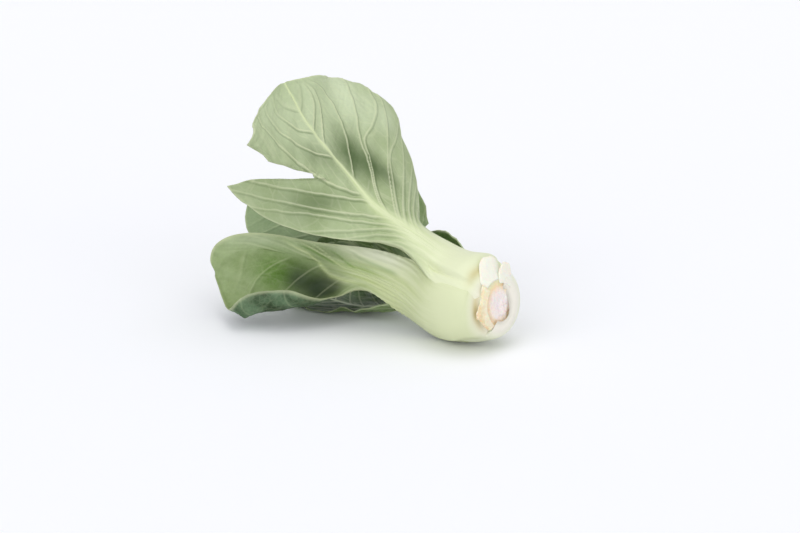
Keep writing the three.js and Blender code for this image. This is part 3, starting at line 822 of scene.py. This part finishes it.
def blade_tissue(tree, facts, spot, back, bloom, face, deep_and_shade):
    """Two greens in cloudy patches, paler on the back with its wax bloom than on the face."""
    cloud_size = {"Vector": spot, "Scale": CLOUDS * MM, "Detail": 4.0, "Roughness": 0.62}
    cloud = node(tree, "TexNoise", cloud_size)
    contrast = {"Value": cloud.outputs["Fac"], "From Min": 0.36, "From Max": 0.66}
    cloudy = node(tree, "MapRange", contrast).outputs[0]
    sides = {0: facts["outside"]}
    for place, pair in ((6, (deep_and_shade, face)), (7, (back, bloom))):
        greens = {0: cloudy, 6: linear(pair[0]), 7: linear(pair[1])}
        sides[place] = node(tree, "Mix", greens, data_type="RGBA").outputs[2]
    return node(tree, "Mix", sides, data_type="RGBA").outputs[2]


print("a cloud of bloom is about", round(1 / CLOUDS), "mm wide")

# %% Two nets of small veins
NET_SIZE = 2.6  # mm; real meshes are nearer 1 mm, and are drawn as coarse as they need to show
BRANCHES = 0.12  # meshes to the mm across the leaf in the coarser net, and one to each side vein


def nets(tree, facts, spot):
    """The finest net's cushions and lines, and the twigs of the net that joins the side veins."""
    net = node(tree, "TexVoronoi", {"Vector": spot, "Scale": MM / NET_SIZE}, feature="DISTANCE_TO_EDGE")
    cushion = net.outputs["Distance"]
    thin = {"Value": cushion, "From Min": 0.0, "From Max": 0.12, "To Min": 0.07, "To Max": 0.0}
    lines = node(tree, "MapRange", thin)
    across = node(tree, "Math", (facts["across"], BRANCHES), operation="MULTIPLY")
    meshes = node(tree, "CombineXYZ", (across.outputs[0], facts["number"]))
    between_veins = {"Vector": meshes.outputs[0], "Scale": 1.0}
    branch = node(tree, "TexVoronoi", between_veins, feature="DISTANCE_TO_EDGE")
    off = {"Value": branch.outputs["Distance"], "From Min": 0.01, "From Max": 0.06}
    twig = node(tree, "MapRange", {**off, "To Min": 0.36, "To Max": 0.0})
    twigs = node(tree, "Math", (twig.outputs[0], facts["strength"]), operation="MULTIPLY")
    return cushion, lines.outputs[0], twigs.outputs[0]


print("a mesh of the coarser net is about", round(1 / BRANCHES, 1), "mm wide")

# %% Side veins, each with the painted shadow below it
VEIN_HALF_WIDTH = 0.42  # mm
VEIN_SHADOW_AT, VEIN_SHADOW_WIDTH = 1.3, 0.9  # mm from a vein's middle to the painted shadow below it, and its width


def side_veins(tree, facts):
    """How much of a vein's colour and of the painted shadow below it a point has."""
    half_on = node(tree, "Math", (facts["number"], 0.5), operation="ADD")
    fraction = node(tree, "Math", (half_on.outputs[0],), operation="FRACT")
    past = node(tree, "Math", (fraction.outputs[0], 0.5), operation="SUBTRACT")
    past_mm = node(tree, "Math", (past.outputs[0], facts["gap"]), operation="MULTIPLY")
    off_mm = node(tree, "Math", (past_mm.outputs[0],), operation="ABSOLUTE")
    edges = {"Value": off_mm.outputs[0], "From Min": 0.1, "From Max": 2 * VEIN_HALF_WIDTH}
    line = node(
        tree, "MapRange", {**edges, "To Min": 0.88, "To Max": 0.0}, interpolation_type="SMOOTHSTEP"
    )
    below = node(tree, "Math", (past_mm.outputs[0], VEIN_SHADOW_AT), operation="ADD")
    off_vein_shadow = node(tree, "Math", (below.outputs[0],), operation="ABSOLUTE")
    share = node(tree, "Math", (off_vein_shadow.outputs[0], VEIN_SHADOW_WIDTH), operation="DIVIDE")
    fading = {"Value": share.outputs[0], "To Min": 0.5, "To Max": 0.0}
    vein_shadow = node(tree, "MapRange", fading, interpolation_type="SMOOTHSTEP")
    return [
        node(tree, "Math", (each.outputs[0], facts["strength"]), operation="MULTIPLY").outputs[0]
        for each in (line, vein_shadow)
    ]


print("a side vein is", 2 * VEIN_HALF_WIDTH, "mm wide")

# %% Leaf material
# Waxy leaf: soft broad highlights from the cuticle, and a glow where light comes through the blade
LEAF_IOR = 1.4  # as of plant wax
GLOW_AND_SHADE_GREEN = "#6E933A"  # painted glow where light comes through the blade, and painted shade in a crease and in a band below it
PALE_PATCH_GREEN = "#D8E2C2"  # paler patches of the blade's back, near the top leaf's upper margin and tip
PALE_LIT_WING = "#F8FBDE"  # a white wing of stalk, its own pale colour painted brighter where the top leaf shades it
GROOVE_SHADE = "#C2B06C"  # painted shade in the groove where the stalks' feet meet the stubs
FACTS = (
    "t", "across", "number", "gap", "strength", "blade", "flat", "rim", "crease", "outside",
    "shade", "glow_and_shade", "pale_patches", "pale_lit_wing", "groove_shade",
)


def leaf_material(name, back, bloom, face, deep_and_shade, stalk, stripe):
    """One leaf's finish, from its six greens."""
    material, tree = new_material(name)
    facts = {fact: node(tree, "Attribute", attribute_name=fact).outputs["Fac"] for fact in FACTS}
    spot = node(tree, "TexCoord").outputs["Object"]
    cushion, net, twigs = nets(tree, facts, spot)
    vein, vein_shadow = side_veins(tree, facts)
    # the blade, from its tissue up to its pale margin; the glow, the shade patches, the shadow below
    # each vein and the highlight along the margin are painted light and shade
    colour = blade_tissue(tree, facts, spot, back, bloom, face, deep_and_shade)
    for amount, tint in (
        (facts["glow_and_shade"], GLOW_AND_SHADE_GREEN), (facts["pale_patches"], PALE_PATCH_GREEN), (net, stalk), (twigs, stalk),
        (facts["shade"], deep_and_shade), (vein, stalk), (vein_shadow, deep_and_shade), (facts["rim"], stalk),
    ):
        laid = {0: amount, 6: colour, 7: linear(tint)}
        colour = node(tree, "Mix", laid, data_type="RGBA").outputs[2]
    # stalk and midrib stay pale, and what lies over both comes last
    green = node(tree, "Math", (facts["blade"], facts["flat"]), operation="MULTIPLY").outputs[0]
    pale = node(tree, "Math", (1.0, green), operation="SUBTRACT")
    # the same painted glow and shade where it falls on pale stalk
    glow_and_shade_on_stalk = node(tree, "Math", (facts["glow_and_shade"], pale.outputs[0]), operation="MULTIPLY").outputs[0]
    # painted shade along the creases
    crease = node(tree, "Math", (facts["crease"], 0.65), operation="MULTIPLY").outputs[0]
    joined = {0: green, 6: stalk_tissue(tree, facts, stalk, stripe), 7: colour}
    colour = node(tree, "Mix", joined, data_type="RGBA").outputs[2]
    for amount, tint in (
        (glow_and_shade_on_stalk, GLOW_AND_SHADE_GREEN), (crease, GLOW_AND_SHADE_GREEN), (facts["pale_lit_wing"], PALE_LIT_WING), (facts["groove_shade"], GROOVE_SHADE),
    ):
        laid = {0: amount, 6: colour, 7: linear(tint)}
        colour = node(tree, "Mix", laid, data_type="RGBA").outputs[2]
    # relief too fine for the grid: the cuticle's grain and the cushions of the net
    grain = node(tree, "TexNoise", {"Vector": spot, "Scale": 0.9 * MM, "Detail": 2.0})
    cushions = node(tree, "Math", (cushion, green), operation="MULTIPLY")
    relief = node(tree, "Math", (grain.outputs["Fac"], cushions.outputs[0]), operation="ADD")
    bump = node(tree, "Bump", {"Strength": 0.5, "Distance": 0.00012, "Height": relief.outputs[0]})
    # a glossy stalk and a duller blade, with light coming through the thin parts
    gloss = node(tree, "MapRange", {"Value": green, "To Min": 0.38, "To Max": 0.5})
    under_wax = {"Base Color": colour, "Roughness": gloss.outputs[0], "IOR": LEAF_IOR}
    skin = node(tree, "BsdfPrincipled", {**under_wax, "Normal": bump.outputs[0]})
    glow = node(tree, "BsdfTranslucent", {"Color": colour, "Normal": bump.outputs[0]})
    through = node(tree, "MapRange", {"Value": green, "To Min": 0.06, "To Max": 0.3})
    mixed = node(tree, "MixShader", (through.outputs[0], skin.outputs[0], glow.outputs[0]))
    node(tree, "OutputMaterial", (mixed.outputs[0],))
    return material


print("numbers that a leaf's colour follows:", len(FACTS))

# %% Each leaf's own greens
# back/bloom: the back with its wax bloom, in two tones; face/deep: the upper face, whose deeper green
# is also the colour of the painted shade; stalk/stripe: the petiole
GREENS = dict(
    leaf_top=("#B2C38F", "#C3D1A4", "#7F9A5C", "#5E7445", "#E3E8C3", "#C8D69C"),
    # the front leaf's deeper green is this dark for the painted shade in its cup
    leaf_front=("#9DB276", "#AFC18C", "#789672", "#263C12", "#DBE1B7", "#B8C682"),
    leaf_under=("#A3B784", "#B6C698", "#7C9858", "#56713F", "#E4E9C9", "#C4D29A"),
    leaf_third=("#98AF80", "#A5B98C", "#587840", "#435C2E", "#D2DCB0", "#B9CA92"),
)
# the hidden leaves' greens, and leaf_third's face, are darker than the outer leaves' as painted shade in
# the gaps where they show
HIDDEN_GREENS_SHADED = ("#7F9A5F", "#93AA74", "#587A3C", "#466030", "#D2DCB0", "#A9BE7C")
leaf_materials = {
    name: leaf_material("waxy_blade_and_stalk_" + name, *GREENS.get(name, HIDDEN_GREENS_SHADED)) for name in LEAVES
}
print(len(leaf_materials), "leaf materials")

# %% [markdown]
# ## Where a leaf is paler or deeper
# A leaf isn't one green, and some of its greens here are painted light and shade. Painted shade
# deepens the front leaf's cup, patches of the top leaf's back and the groove at the feet of the
# stalks; a painted glow stands for light coming through the blade; a white wing of stalk is
# painted brighter where the top leaf shades it; and the blade is paler in places near the top
# leaf's upper margin and tip. A painted mask could say where. Here each such place is a soft
# round patch in the leaf's own measures, so it stays put on the leaf.

# %% Patches, as t, mm from the midrib, how long in t, how wide in mm, and how much
PATCHES = {
    # painted shade in patches of the top leaf's back and in the front leaf's cup
    "shade": {
        "leaf_top": [
            (0.775, -14, 0.045, 13, 0.9), (0.7, -21, 0.05, 10, 0.9), (0.63, -27, 0.05, 7, 0.7),
            (0.69, 30, 0.03, 18, 0.6), (0.82, 10, 0.03, 12, 0.4),
        ],
        "leaf_front": [(0.715, 16, 0.05, 13, 1), (0.775, 13, 0.03, 9, 0.6), (0.676, 13, 0.03, 7, 0.5)],
    },
    # painted glow where light comes through the front leaf's cup, and painted shade in a band on its stalk
    # under a crease
    "glow_and_shade": {"leaf_front": [(0.81, 13, 0.07, 12, 1), (0.61, -3.5, 0.05, 3.5, 0.45)]},
    "pale_patches": {
        # paler patches near the top leaf's upper margin and tip, and one near the front leaf's tip
        "leaf_top": [(0.8, -54, 0.08, 22, 0.8), (0.7, -64, 0.05, 14, 0.5), (0.92, 0, 0.12, 150, 0.6)],
        "leaf_front": [(0.86, -8, 0.07, 6, 0.5)],
    },
    # a white wing of stalk, painted brighter where the top leaf shades it
    "pale_lit_wing": {"leaf_front": [(0.57, -14.5, 0.09, 6, 1)]},
    # painted shade in the groove where the stalks' feet meet the stubs
    "groove_shade": {"leaf_front": [(0.035, -3, 0.03, 12, 0.75)], "leaf_top": [(0.15, 2, 0.04, 7, 0.6)]},
}


def patches(spots, facts):
    """Soft patches on a blade, 0..1."""
    total = np.zeros_like(facts["t"])
    for t, across, long, wide, depth in spots:
        off = ((facts["t"] - t) / long) ** 2 + ((facts["across"] - across) / wide) ** 2
        total += depth * np.exp(-off)
    return np.clip(total, 0, 1)


print("kinds of patch:", ", ".join(PATCHES))

# %% [markdown]
# ## Growing the leaves
# The two leaves that face the viewer get the finest grids and the hidden ones coarser grids.
# Each is one closed mesh, petiole and blade together, as a leaf is.

# %% Build every leaf
FINE_GRIDS = dict(leaf_top=(200, 190), leaf_front=(224, 184), leaf_under=(170, 110), leaf_third=(150, 100))
PLAIN_GRID = (120, 84)
grown = {name: fine_leaf(name, *FINE_GRIDS.get(name, PLAIN_GRID)) for name in LEAVES}
grown["leaf_front"] = settle(grown["leaf_front"], grown["leaf_under"], 0.28)
grown["leaf_top"] = settle(grown["leaf_top"], grown["leaf_front"], 0.36)
for name, (outer, inner, _, facts) in grown.items():
    for kind, spots in PATCHES.items():
        facts[kind] = patches(spots.get(name, []), facts)
    facts = {key: np.tile(value.ravel(), 2) for key, value in facts.items() if key != "v"}
    facts["outside"] = np.repeat([1.0, 0.0], outer[..., 0].size)
    points = np.concatenate([outer.reshape(-1, 3), inner.reshape(-1, 3)])
    faces = sheet_faces(*outer.shape[:2])
    add_piece(name + "_grown", points, faces, facts, leaf_materials[name], name)

# %% [markdown]
# ## The cut stem
# The knife leaves a flat round face: moist white pith in the middle, a ring of conducting
# strands round it that dries to straw, and a thin green-white rind. A lathe profile gives the
# form, and small seeded unevenness gives the tear marks of a blunt cut.

# %% The cut face and the stem behind it
RINGS, SPOKES = 90, 160
PITH = 8.6  # mm from the middle of the cut to the edge of the pith
FACE = 14.5  # mm from the middle, along the profile, to the end of the cut face
SEAT = 1.13  # the stem is this much wider than the CAD core, so that the leaf feet grow out of it
STEP = 0.35  # mm that the pith stands above the ring round it
TEARS = ((0.22, 5), (0.12, 1.9), (0.08, 0.9))  # height and size of the marks of the knife, in mm


def stem_grid():
    """A lathe grid from the middle of the cut face to the apex, and its two measures in mm."""
    steps = np.concatenate([[0], np.cumsum(np.hypot(*np.diff(CORE, axis=0).T))])
    s = steps[-1] * np.linspace(0, 1, RINGS) ** 1.5
    s[0] = 1e-3
    s[-1] = steps[-1] - 1e-3
    out, along = SEAT * np.interp(s, steps, CORE[:, 0]), np.interp(s, steps, CORE[:, 1])
    turn = np.arange(SPOKES) * 360 / SPOKES
    return placed(along[:, None], out[:, None], turn[None, :]), np.repeat(out[:, None], SPOKES, 1), s


stem_points, stem_radius, s = stem_grid()
rough = sum(height * uneven(stem_points, size, 3 + k) for k, (height, size) in enumerate(TEARS))
step = STEP * smooth((stem_radius - PITH + 0.5 * uneven(stem_points, 8, 6)) / 1.2)
on_face = smooth((FACE - s) / 2)[:, None]
stem_points = stem_points - ((rough - step) * on_face)[..., None] * AXIS
print("stem grid:", stem_points.shape[:2])

# %% Wet flesh, for the cut stem and for the stubs
# Moist plant flesh: a soft shine from the water in the cut cells, and light that goes in a little
def wet_flesh(tree, colour, relief, roughness):
    """Ends a material; `relief` raises the fibres or the mottle by a fraction of a millimetre."""
    bump = node(tree, "Bump", {"Strength": 0.5, "Distance": 0.0002, "Height": relief})
    surface = {"Base Color": colour, "Roughness": roughness, "Normal": bump.outputs[0]}
    depth = {"IOR": LEAF_IOR, "Subsurface Weight": 0.2, "Subsurface Scale": 0.003}
    flesh = node(tree, "BsdfPrincipled", {**surface, **depth})
    node(tree, "OutputMaterial", (flesh.outputs[0],))


print("light goes about 3 mm into the flesh")

# %% Cut-stem material
# Freshly cut stem: moist pith, matt fibres, a straw ring where the strands dry
RIND, RIND_AT = "#DFE3C0", 16.0  # the green-white rind, and how far out it begins, in mm
ZONES = (  # from the middle outwards: a share of RIND_AT and the colour there
    (0.0, "#F0E6E4"), (0.55, "#F2E6E0"), (0.68, "#F2DEC6"),
    (0.78, "#EFD5AC"), (0.88, "#EADDB0"), (0.96, "#E6E1BE"),
)
BLUSH = "#F5DCCD"  # the faint pink of the drying pith
stem_material, tree = new_material("knife_cut_pith_and_rind")
spot = node(tree, "TexCoord").outputs["Object"]
radius = node(tree, "Attribute", attribute_name="radius").outputs["Fac"]
noise = node(tree, "TexNoise", {"Vector": spot, "Scale": 0.22 * MM, "Detail": 4.0})
wander = node(tree, "Math", (noise.outputs["Fac"], 3.2), operation="MULTIPLY")
bent = node(tree, "Math", (wander.outputs[0], radius), operation="ADD")
share = node(tree, "MapRange", {"Value": bent.outputs[0], "From Max": RIND_AT})
ramp = node(tree, "ValToRGB", (share.outputs[0],))
for place, colour in ZONES:
    stop = ramp.color_ramp.elements.new(place) if place else ramp.color_ramp.elements[0]
    stop.color = linear(colour)
ramp.color_ramp.elements[-1].color = linear(RIND)
blush = node(tree, "TexNoise", {"Vector": spot, "Scale": 0.16 * MM, "Detail": 3.0})
contrast = {"Value": blush.outputs["Fac"], "From Min": 0.5, "From Max": 0.75, "To Max": 0.35}
blushed = {0: node(tree, "MapRange", contrast).outputs[0], 6: ramp.outputs[0], 7: linear(BLUSH)}
colour = node(tree, "Mix", blushed, data_type="RGBA").outputs[2]
fibre = node(tree, "TexNoise", {"Vector": spot, "Scale": 1.1 * MM, "Detail": 3.0})
wet_flesh(tree, colour, fibre.outputs["Fac"], 0.5)
print("zones of the cut face:", len(ZONES) + 1)

# %% Build the stem
i, j = np.meshgrid(np.arange(RINGS - 1), np.arange(SPOKES), indexing="ij")
a, b = (i * SPOKES + j).ravel(), (i * SPOKES + (j + 1) % SPOKES).ravel()
stem_faces = np.stack([a, b, b + SPOKES, a + SPOKES], 1).tolist()
middle, apex = RINGS * SPOKES, RINGS * SPOKES + 1
last = (RINGS - 1) * SPOKES
for k in range(SPOKES):
    following = (k + 1) % SPOKES
    stem_faces += [[following, k, middle], [last + k, last + following, apex]]
ends = [placed(CORE[row, 1], CORE[row, 0], 0)[None, :] for row in (0, -1)]
points = np.concatenate([stem_points.reshape(-1, 3), *ends])
facts = dict(radius=np.concatenate([stem_radius.ravel(), [0, 0]]))
add_piece("stem_base_cut", points, stem_faces, facts, stem_material, "stem_base")

# %% [markdown]
# ## Stubs of trimmed leaves
# The outermost leaves were snapped or cut off at the stem, and each leaves a stub: a flap of
# thick white stalk with a ragged rim that dries first. Each stub is a strip round the stem,
# with its profile and its length given by stations again.

# %% The stubs' stations
# turns: where the strip starts and ends, in degrees round the axis; along/out: its profile;
# reach: the share of the profile that is left, from one end of the strip to the other;
# stain: how straw-coloured it is; ragged: how toothed its rim is; bumps: its relief in mm
STUBS = dict(
    stub_flap=dict(
        turns=(-18, 38), along=[2.2, 4.2, 6.8, 9.6, 12.6], out=[16.4, 20.4, 24.2, 26.9, 28.6],
        reach=[0.62, 0.72, 0.73, 0.72, 0.62, 0.43, 0.27, 0.12], stain=0.04, ragged=0.2, bumps=0.05,
    ),
    stub_front=dict(
        turns=(39, 142), along=[0.2, 1.1, 2.1, 3], out=[14.9, 16.9, 18.9, 20.8],
        reach=[0.5, 0.34, 0.22, 0.42, 0.62, 0.42, 0.3, 0.12], stain=1, ragged=1, bumps=0.2,
    ),
    stub_tab=dict(
        turns=(-52, -7), along=[0.2, 0.6, 0.9, 1.2], out=[14.9, 18.3, 21.7, 25],
        reach=[0.15, 0.52, 0.94, 0.88, 0.3], stain=0.1, ragged=0.4, bumps=0.08,
    ),
)
print("stubs:", ", ".join(STUBS))

# %% Stub finish
# Trimmed stalk: wet white tissue, mottled straw where the air has dried it
WET, STAINED, RIM_WHITE, STRAW = "#EFEDE0", "#E6D9A6", "#F3EEDC", "#DDBD88"
stub_material, tree = new_material("snapped_white_stalk")
spot = node(tree, "TexCoord").outputs["Object"]
rim, stain = (node(tree, "Attribute", attribute_name=fact).outputs["Fac"] for fact in ("rim", "stain"))
mottle = node(tree, "TexNoise", {"Vector": spot, "Scale": 0.3 * MM, "Detail": 4.0, "Roughness": 0.65})
contrast = {"Value": mottle.outputs["Fac"], "From Min": 0.38, "From Max": 0.68}
mottled = node(tree, "MapRange", contrast)
dry = node(tree, "Math", (mottled.outputs[0], stain), operation="MULTIPLY").outputs[0]
colour = linear(WET)
for amount, tint in ((stain, STAINED), (rim, RIM_WHITE), (dry, STRAW)):
    laid = {0: amount, 6: colour, 7: linear(tint)}
    colour = node(tree, "Mix", laid, data_type="RGBA").outputs[2]
wet_flesh(tree, colour, mottle.outputs["Fac"], 0.45)
print("stub material:", stub_material.name)

# %% Build the stubs
STUB_GRID = (26, 70)
STUB_THICKNESS = 1.7  # mm
ROOT = 2.5  # mm that a stub reaches into the stem


def fine_stub(name):
    """The outer and inner faces of a stub, and its rim and stain at each point."""
    stub = STUBS[name]
    seed = sum(map(ord, name))
    rows, columns = STUB_GRID
    x, u = np.meshgrid(np.linspace(0, 1, rows), np.linspace(0, 1, columns), indexing="ij")
    turn = stub["turns"][0] + u * (stub["turns"][1] - stub["turns"][0])
    teeth = 0.06 * np.sin(u * 23 + seed) + 0.04 * np.sin(u * 61 + 2 * seed)
    ragged = between(stub["reach"], u) * (1 + stub["ragged"] * teeth)
    w = x * np.clip(ragged, 0.1, 1)
    along, out = between(stub["along"], w), between(stub["out"], w)
    slope_along = between(stub["along"], w + 0.01) - between(stub["along"], w - 0.01)
    slope_out = between(stub["out"], w + 0.01) - between(stub["out"], w - 0.01)
    length = np.hypot(slope_along, slope_out)
    root = ROOT * (1 - smooth(x * 4)) / length
    along, out = along - root * slope_along, out - root * slope_out
    ends = np.sqrt(np.clip(1 - np.abs(2 * u - 1) ** 6, 0, 1))
    half = STUB_THICKNESS / 2 * (1 - 0.55 * x**3) * (0.3 + 0.7 * ends) / length
    outer = placed(along - half * slope_out, out + half * slope_along, turn)
    inner = placed(along + half * slope_out, out - half * slope_along, turn)
    bumps = stub["bumps"] * (uneven(outer, 3.5, seed) + 0.5 * uneven(outer, 1.5, seed + 1))
    outer = outer + (bumps * smooth(x * 4))[..., None] * unit(outer - inner)
    return outer, inner, dict(rim=x**4, stain=stub["stain"] * (0.35 + 0.65 * x))


for name in STUBS:
    outer, inner, facts = fine_stub(name)
    facts = {key: np.tile(value.ravel(), 2) for key, value in facts.items()}
    points = np.concatenate([outer.reshape(-1, 3), inner.reshape(-1, 3)])
    add_piece(name + "_torn", points, sheet_faces(*STUB_GRID), facts, stub_material, name)

# %% [markdown]
# ## Floor, light and camera
# A food picture on white needs a floor that takes a soft shadow and a background that stays
# white. The floor is pale and matt, and the world is white for the camera and for reflections.
# Lamps close by would light one end more than the other, so three wide suns stand for large
# windows: one above, one in front, and a weaker one that faces the cut end. The world fills
# the shadows. The camera is far off, with a long lens, so that nothing looks stretched.

# %% Floor
bpy.ops.mesh.primitive_plane_add(size=6, location=(0, 0, 0))
floor = bpy.context.object
floor.name = "floor"
# Painted board: matt, so it takes the shadow and mirrors nothing
floor_material, tree = new_material("matt_white_board")
board = node(tree, "BsdfPrincipled", {"Base Color": linear("#F8F8FB"), "Roughness": 0.85})
node(tree, "OutputMaterial", (board.outputs[0],))
floor.data.materials.append(floor_material)
print("floor:", round(floor.dimensions.x, 2), "m wide")

# %% World
FILL = 0.62  # how strongly the world lights the object, where 1 is white
world = bpy.data.worlds.new("white_room")
bpy.context.scene.world = world
world.use_nodes = True
tree = world.node_tree
tree.nodes.clear()
seen = node(tree, "LightPath").outputs
by_eye = node(tree, "Math", (seen["Is Camera Ray"], seen["Is Glossy Ray"]), operation="MAXIMUM")
shown = node(tree, "Math", (by_eye.outputs[0], seen["Is Transmission Ray"]), operation="MAXIMUM")
fill = node(tree, "Background", {"Color": linear("#F8FAFF"), "Strength": FILL})
white = node(tree, "Background", {"Color": linear("#FBFBFF"), "Strength": 1.0})
mixed = node(tree, "MixShader", (shown.outputs[0], fill.outputs[0], white.outputs[0]))
node(tree, "OutputWorld", (mixed.outputs[0],))
print("fill from the world:", FILL)

# %% Lamps
SUN_WIDTH = math.radians(50)  # a disc as wide as a large window makes soft shadows
SUNS = dict(  # where each one shines from, its strength and its colour
    soft_top=((0.2, 0.1, 1.3), 0.8, "#FFFEFA"),
    soft_front=((0.1, -0.95, 0.65), 0.9, "#FCFDFF"),
    soft_right=((1, -0.25, 0.2), 0.5, "#FCFCFF"),
)
for name, (place, strength, colour) in SUNS.items():
    light = bpy.data.lights.new(name, "SUN")
    light.energy = strength
    light.angle = SUN_WIDTH
    light.color = linear(colour)[:3]
    lamp = bpy.data.objects.new(name, light)
    lamp.rotation_euler = (-Vector(place)).to_track_quat("-Z", "Y").to_euler()
    bpy.context.scene.collection.objects.link(lamp)
print("lamps:", ", ".join(SUNS))

# %% Camera
AZIMUTH, ELEVATION = math.radians(41.8), math.radians(16.5)
LENS, SENSOR = 85, 36  # mm
DEPTH = 1060  # mm from the lens to the cut end, along the line of sight
CUT_RIGHT, CUT_BELOW = 56.12, 21.6  # mm from the middle of the view to the middle of the cut end
level = math.cos(ELEVATION)
ahead = np.array([-math.sin(AZIMUTH) * level, math.cos(AZIMUTH) * level, -math.sin(ELEVATION)])
right = np.array([math.cos(AZIMUTH), math.sin(AZIMUTH), 0])
up = np.cross(right, ahead)
place = to_frame(CUT_CENTRE - DEPTH * ahead - CUT_RIGHT * right + CUT_BELOW * up)
camera_data = bpy.data.cameras.new("camera")
camera_data.lens = LENS
camera_data.sensor_width = SENSOR
camera = bpy.data.objects.new("camera", camera_data)
bpy.context.scene.collection.objects.link(camera)
pose = np.eye(4)
pose[:3] = np.stack([right, up, -ahead, place], 1)
camera.matrix_world = Matrix(pose.tolist())
bpy.context.scene.camera = camera
bpy.context.scene.view_settings.view_transform = "Standard"
print("camera in metres:", place.round(3))
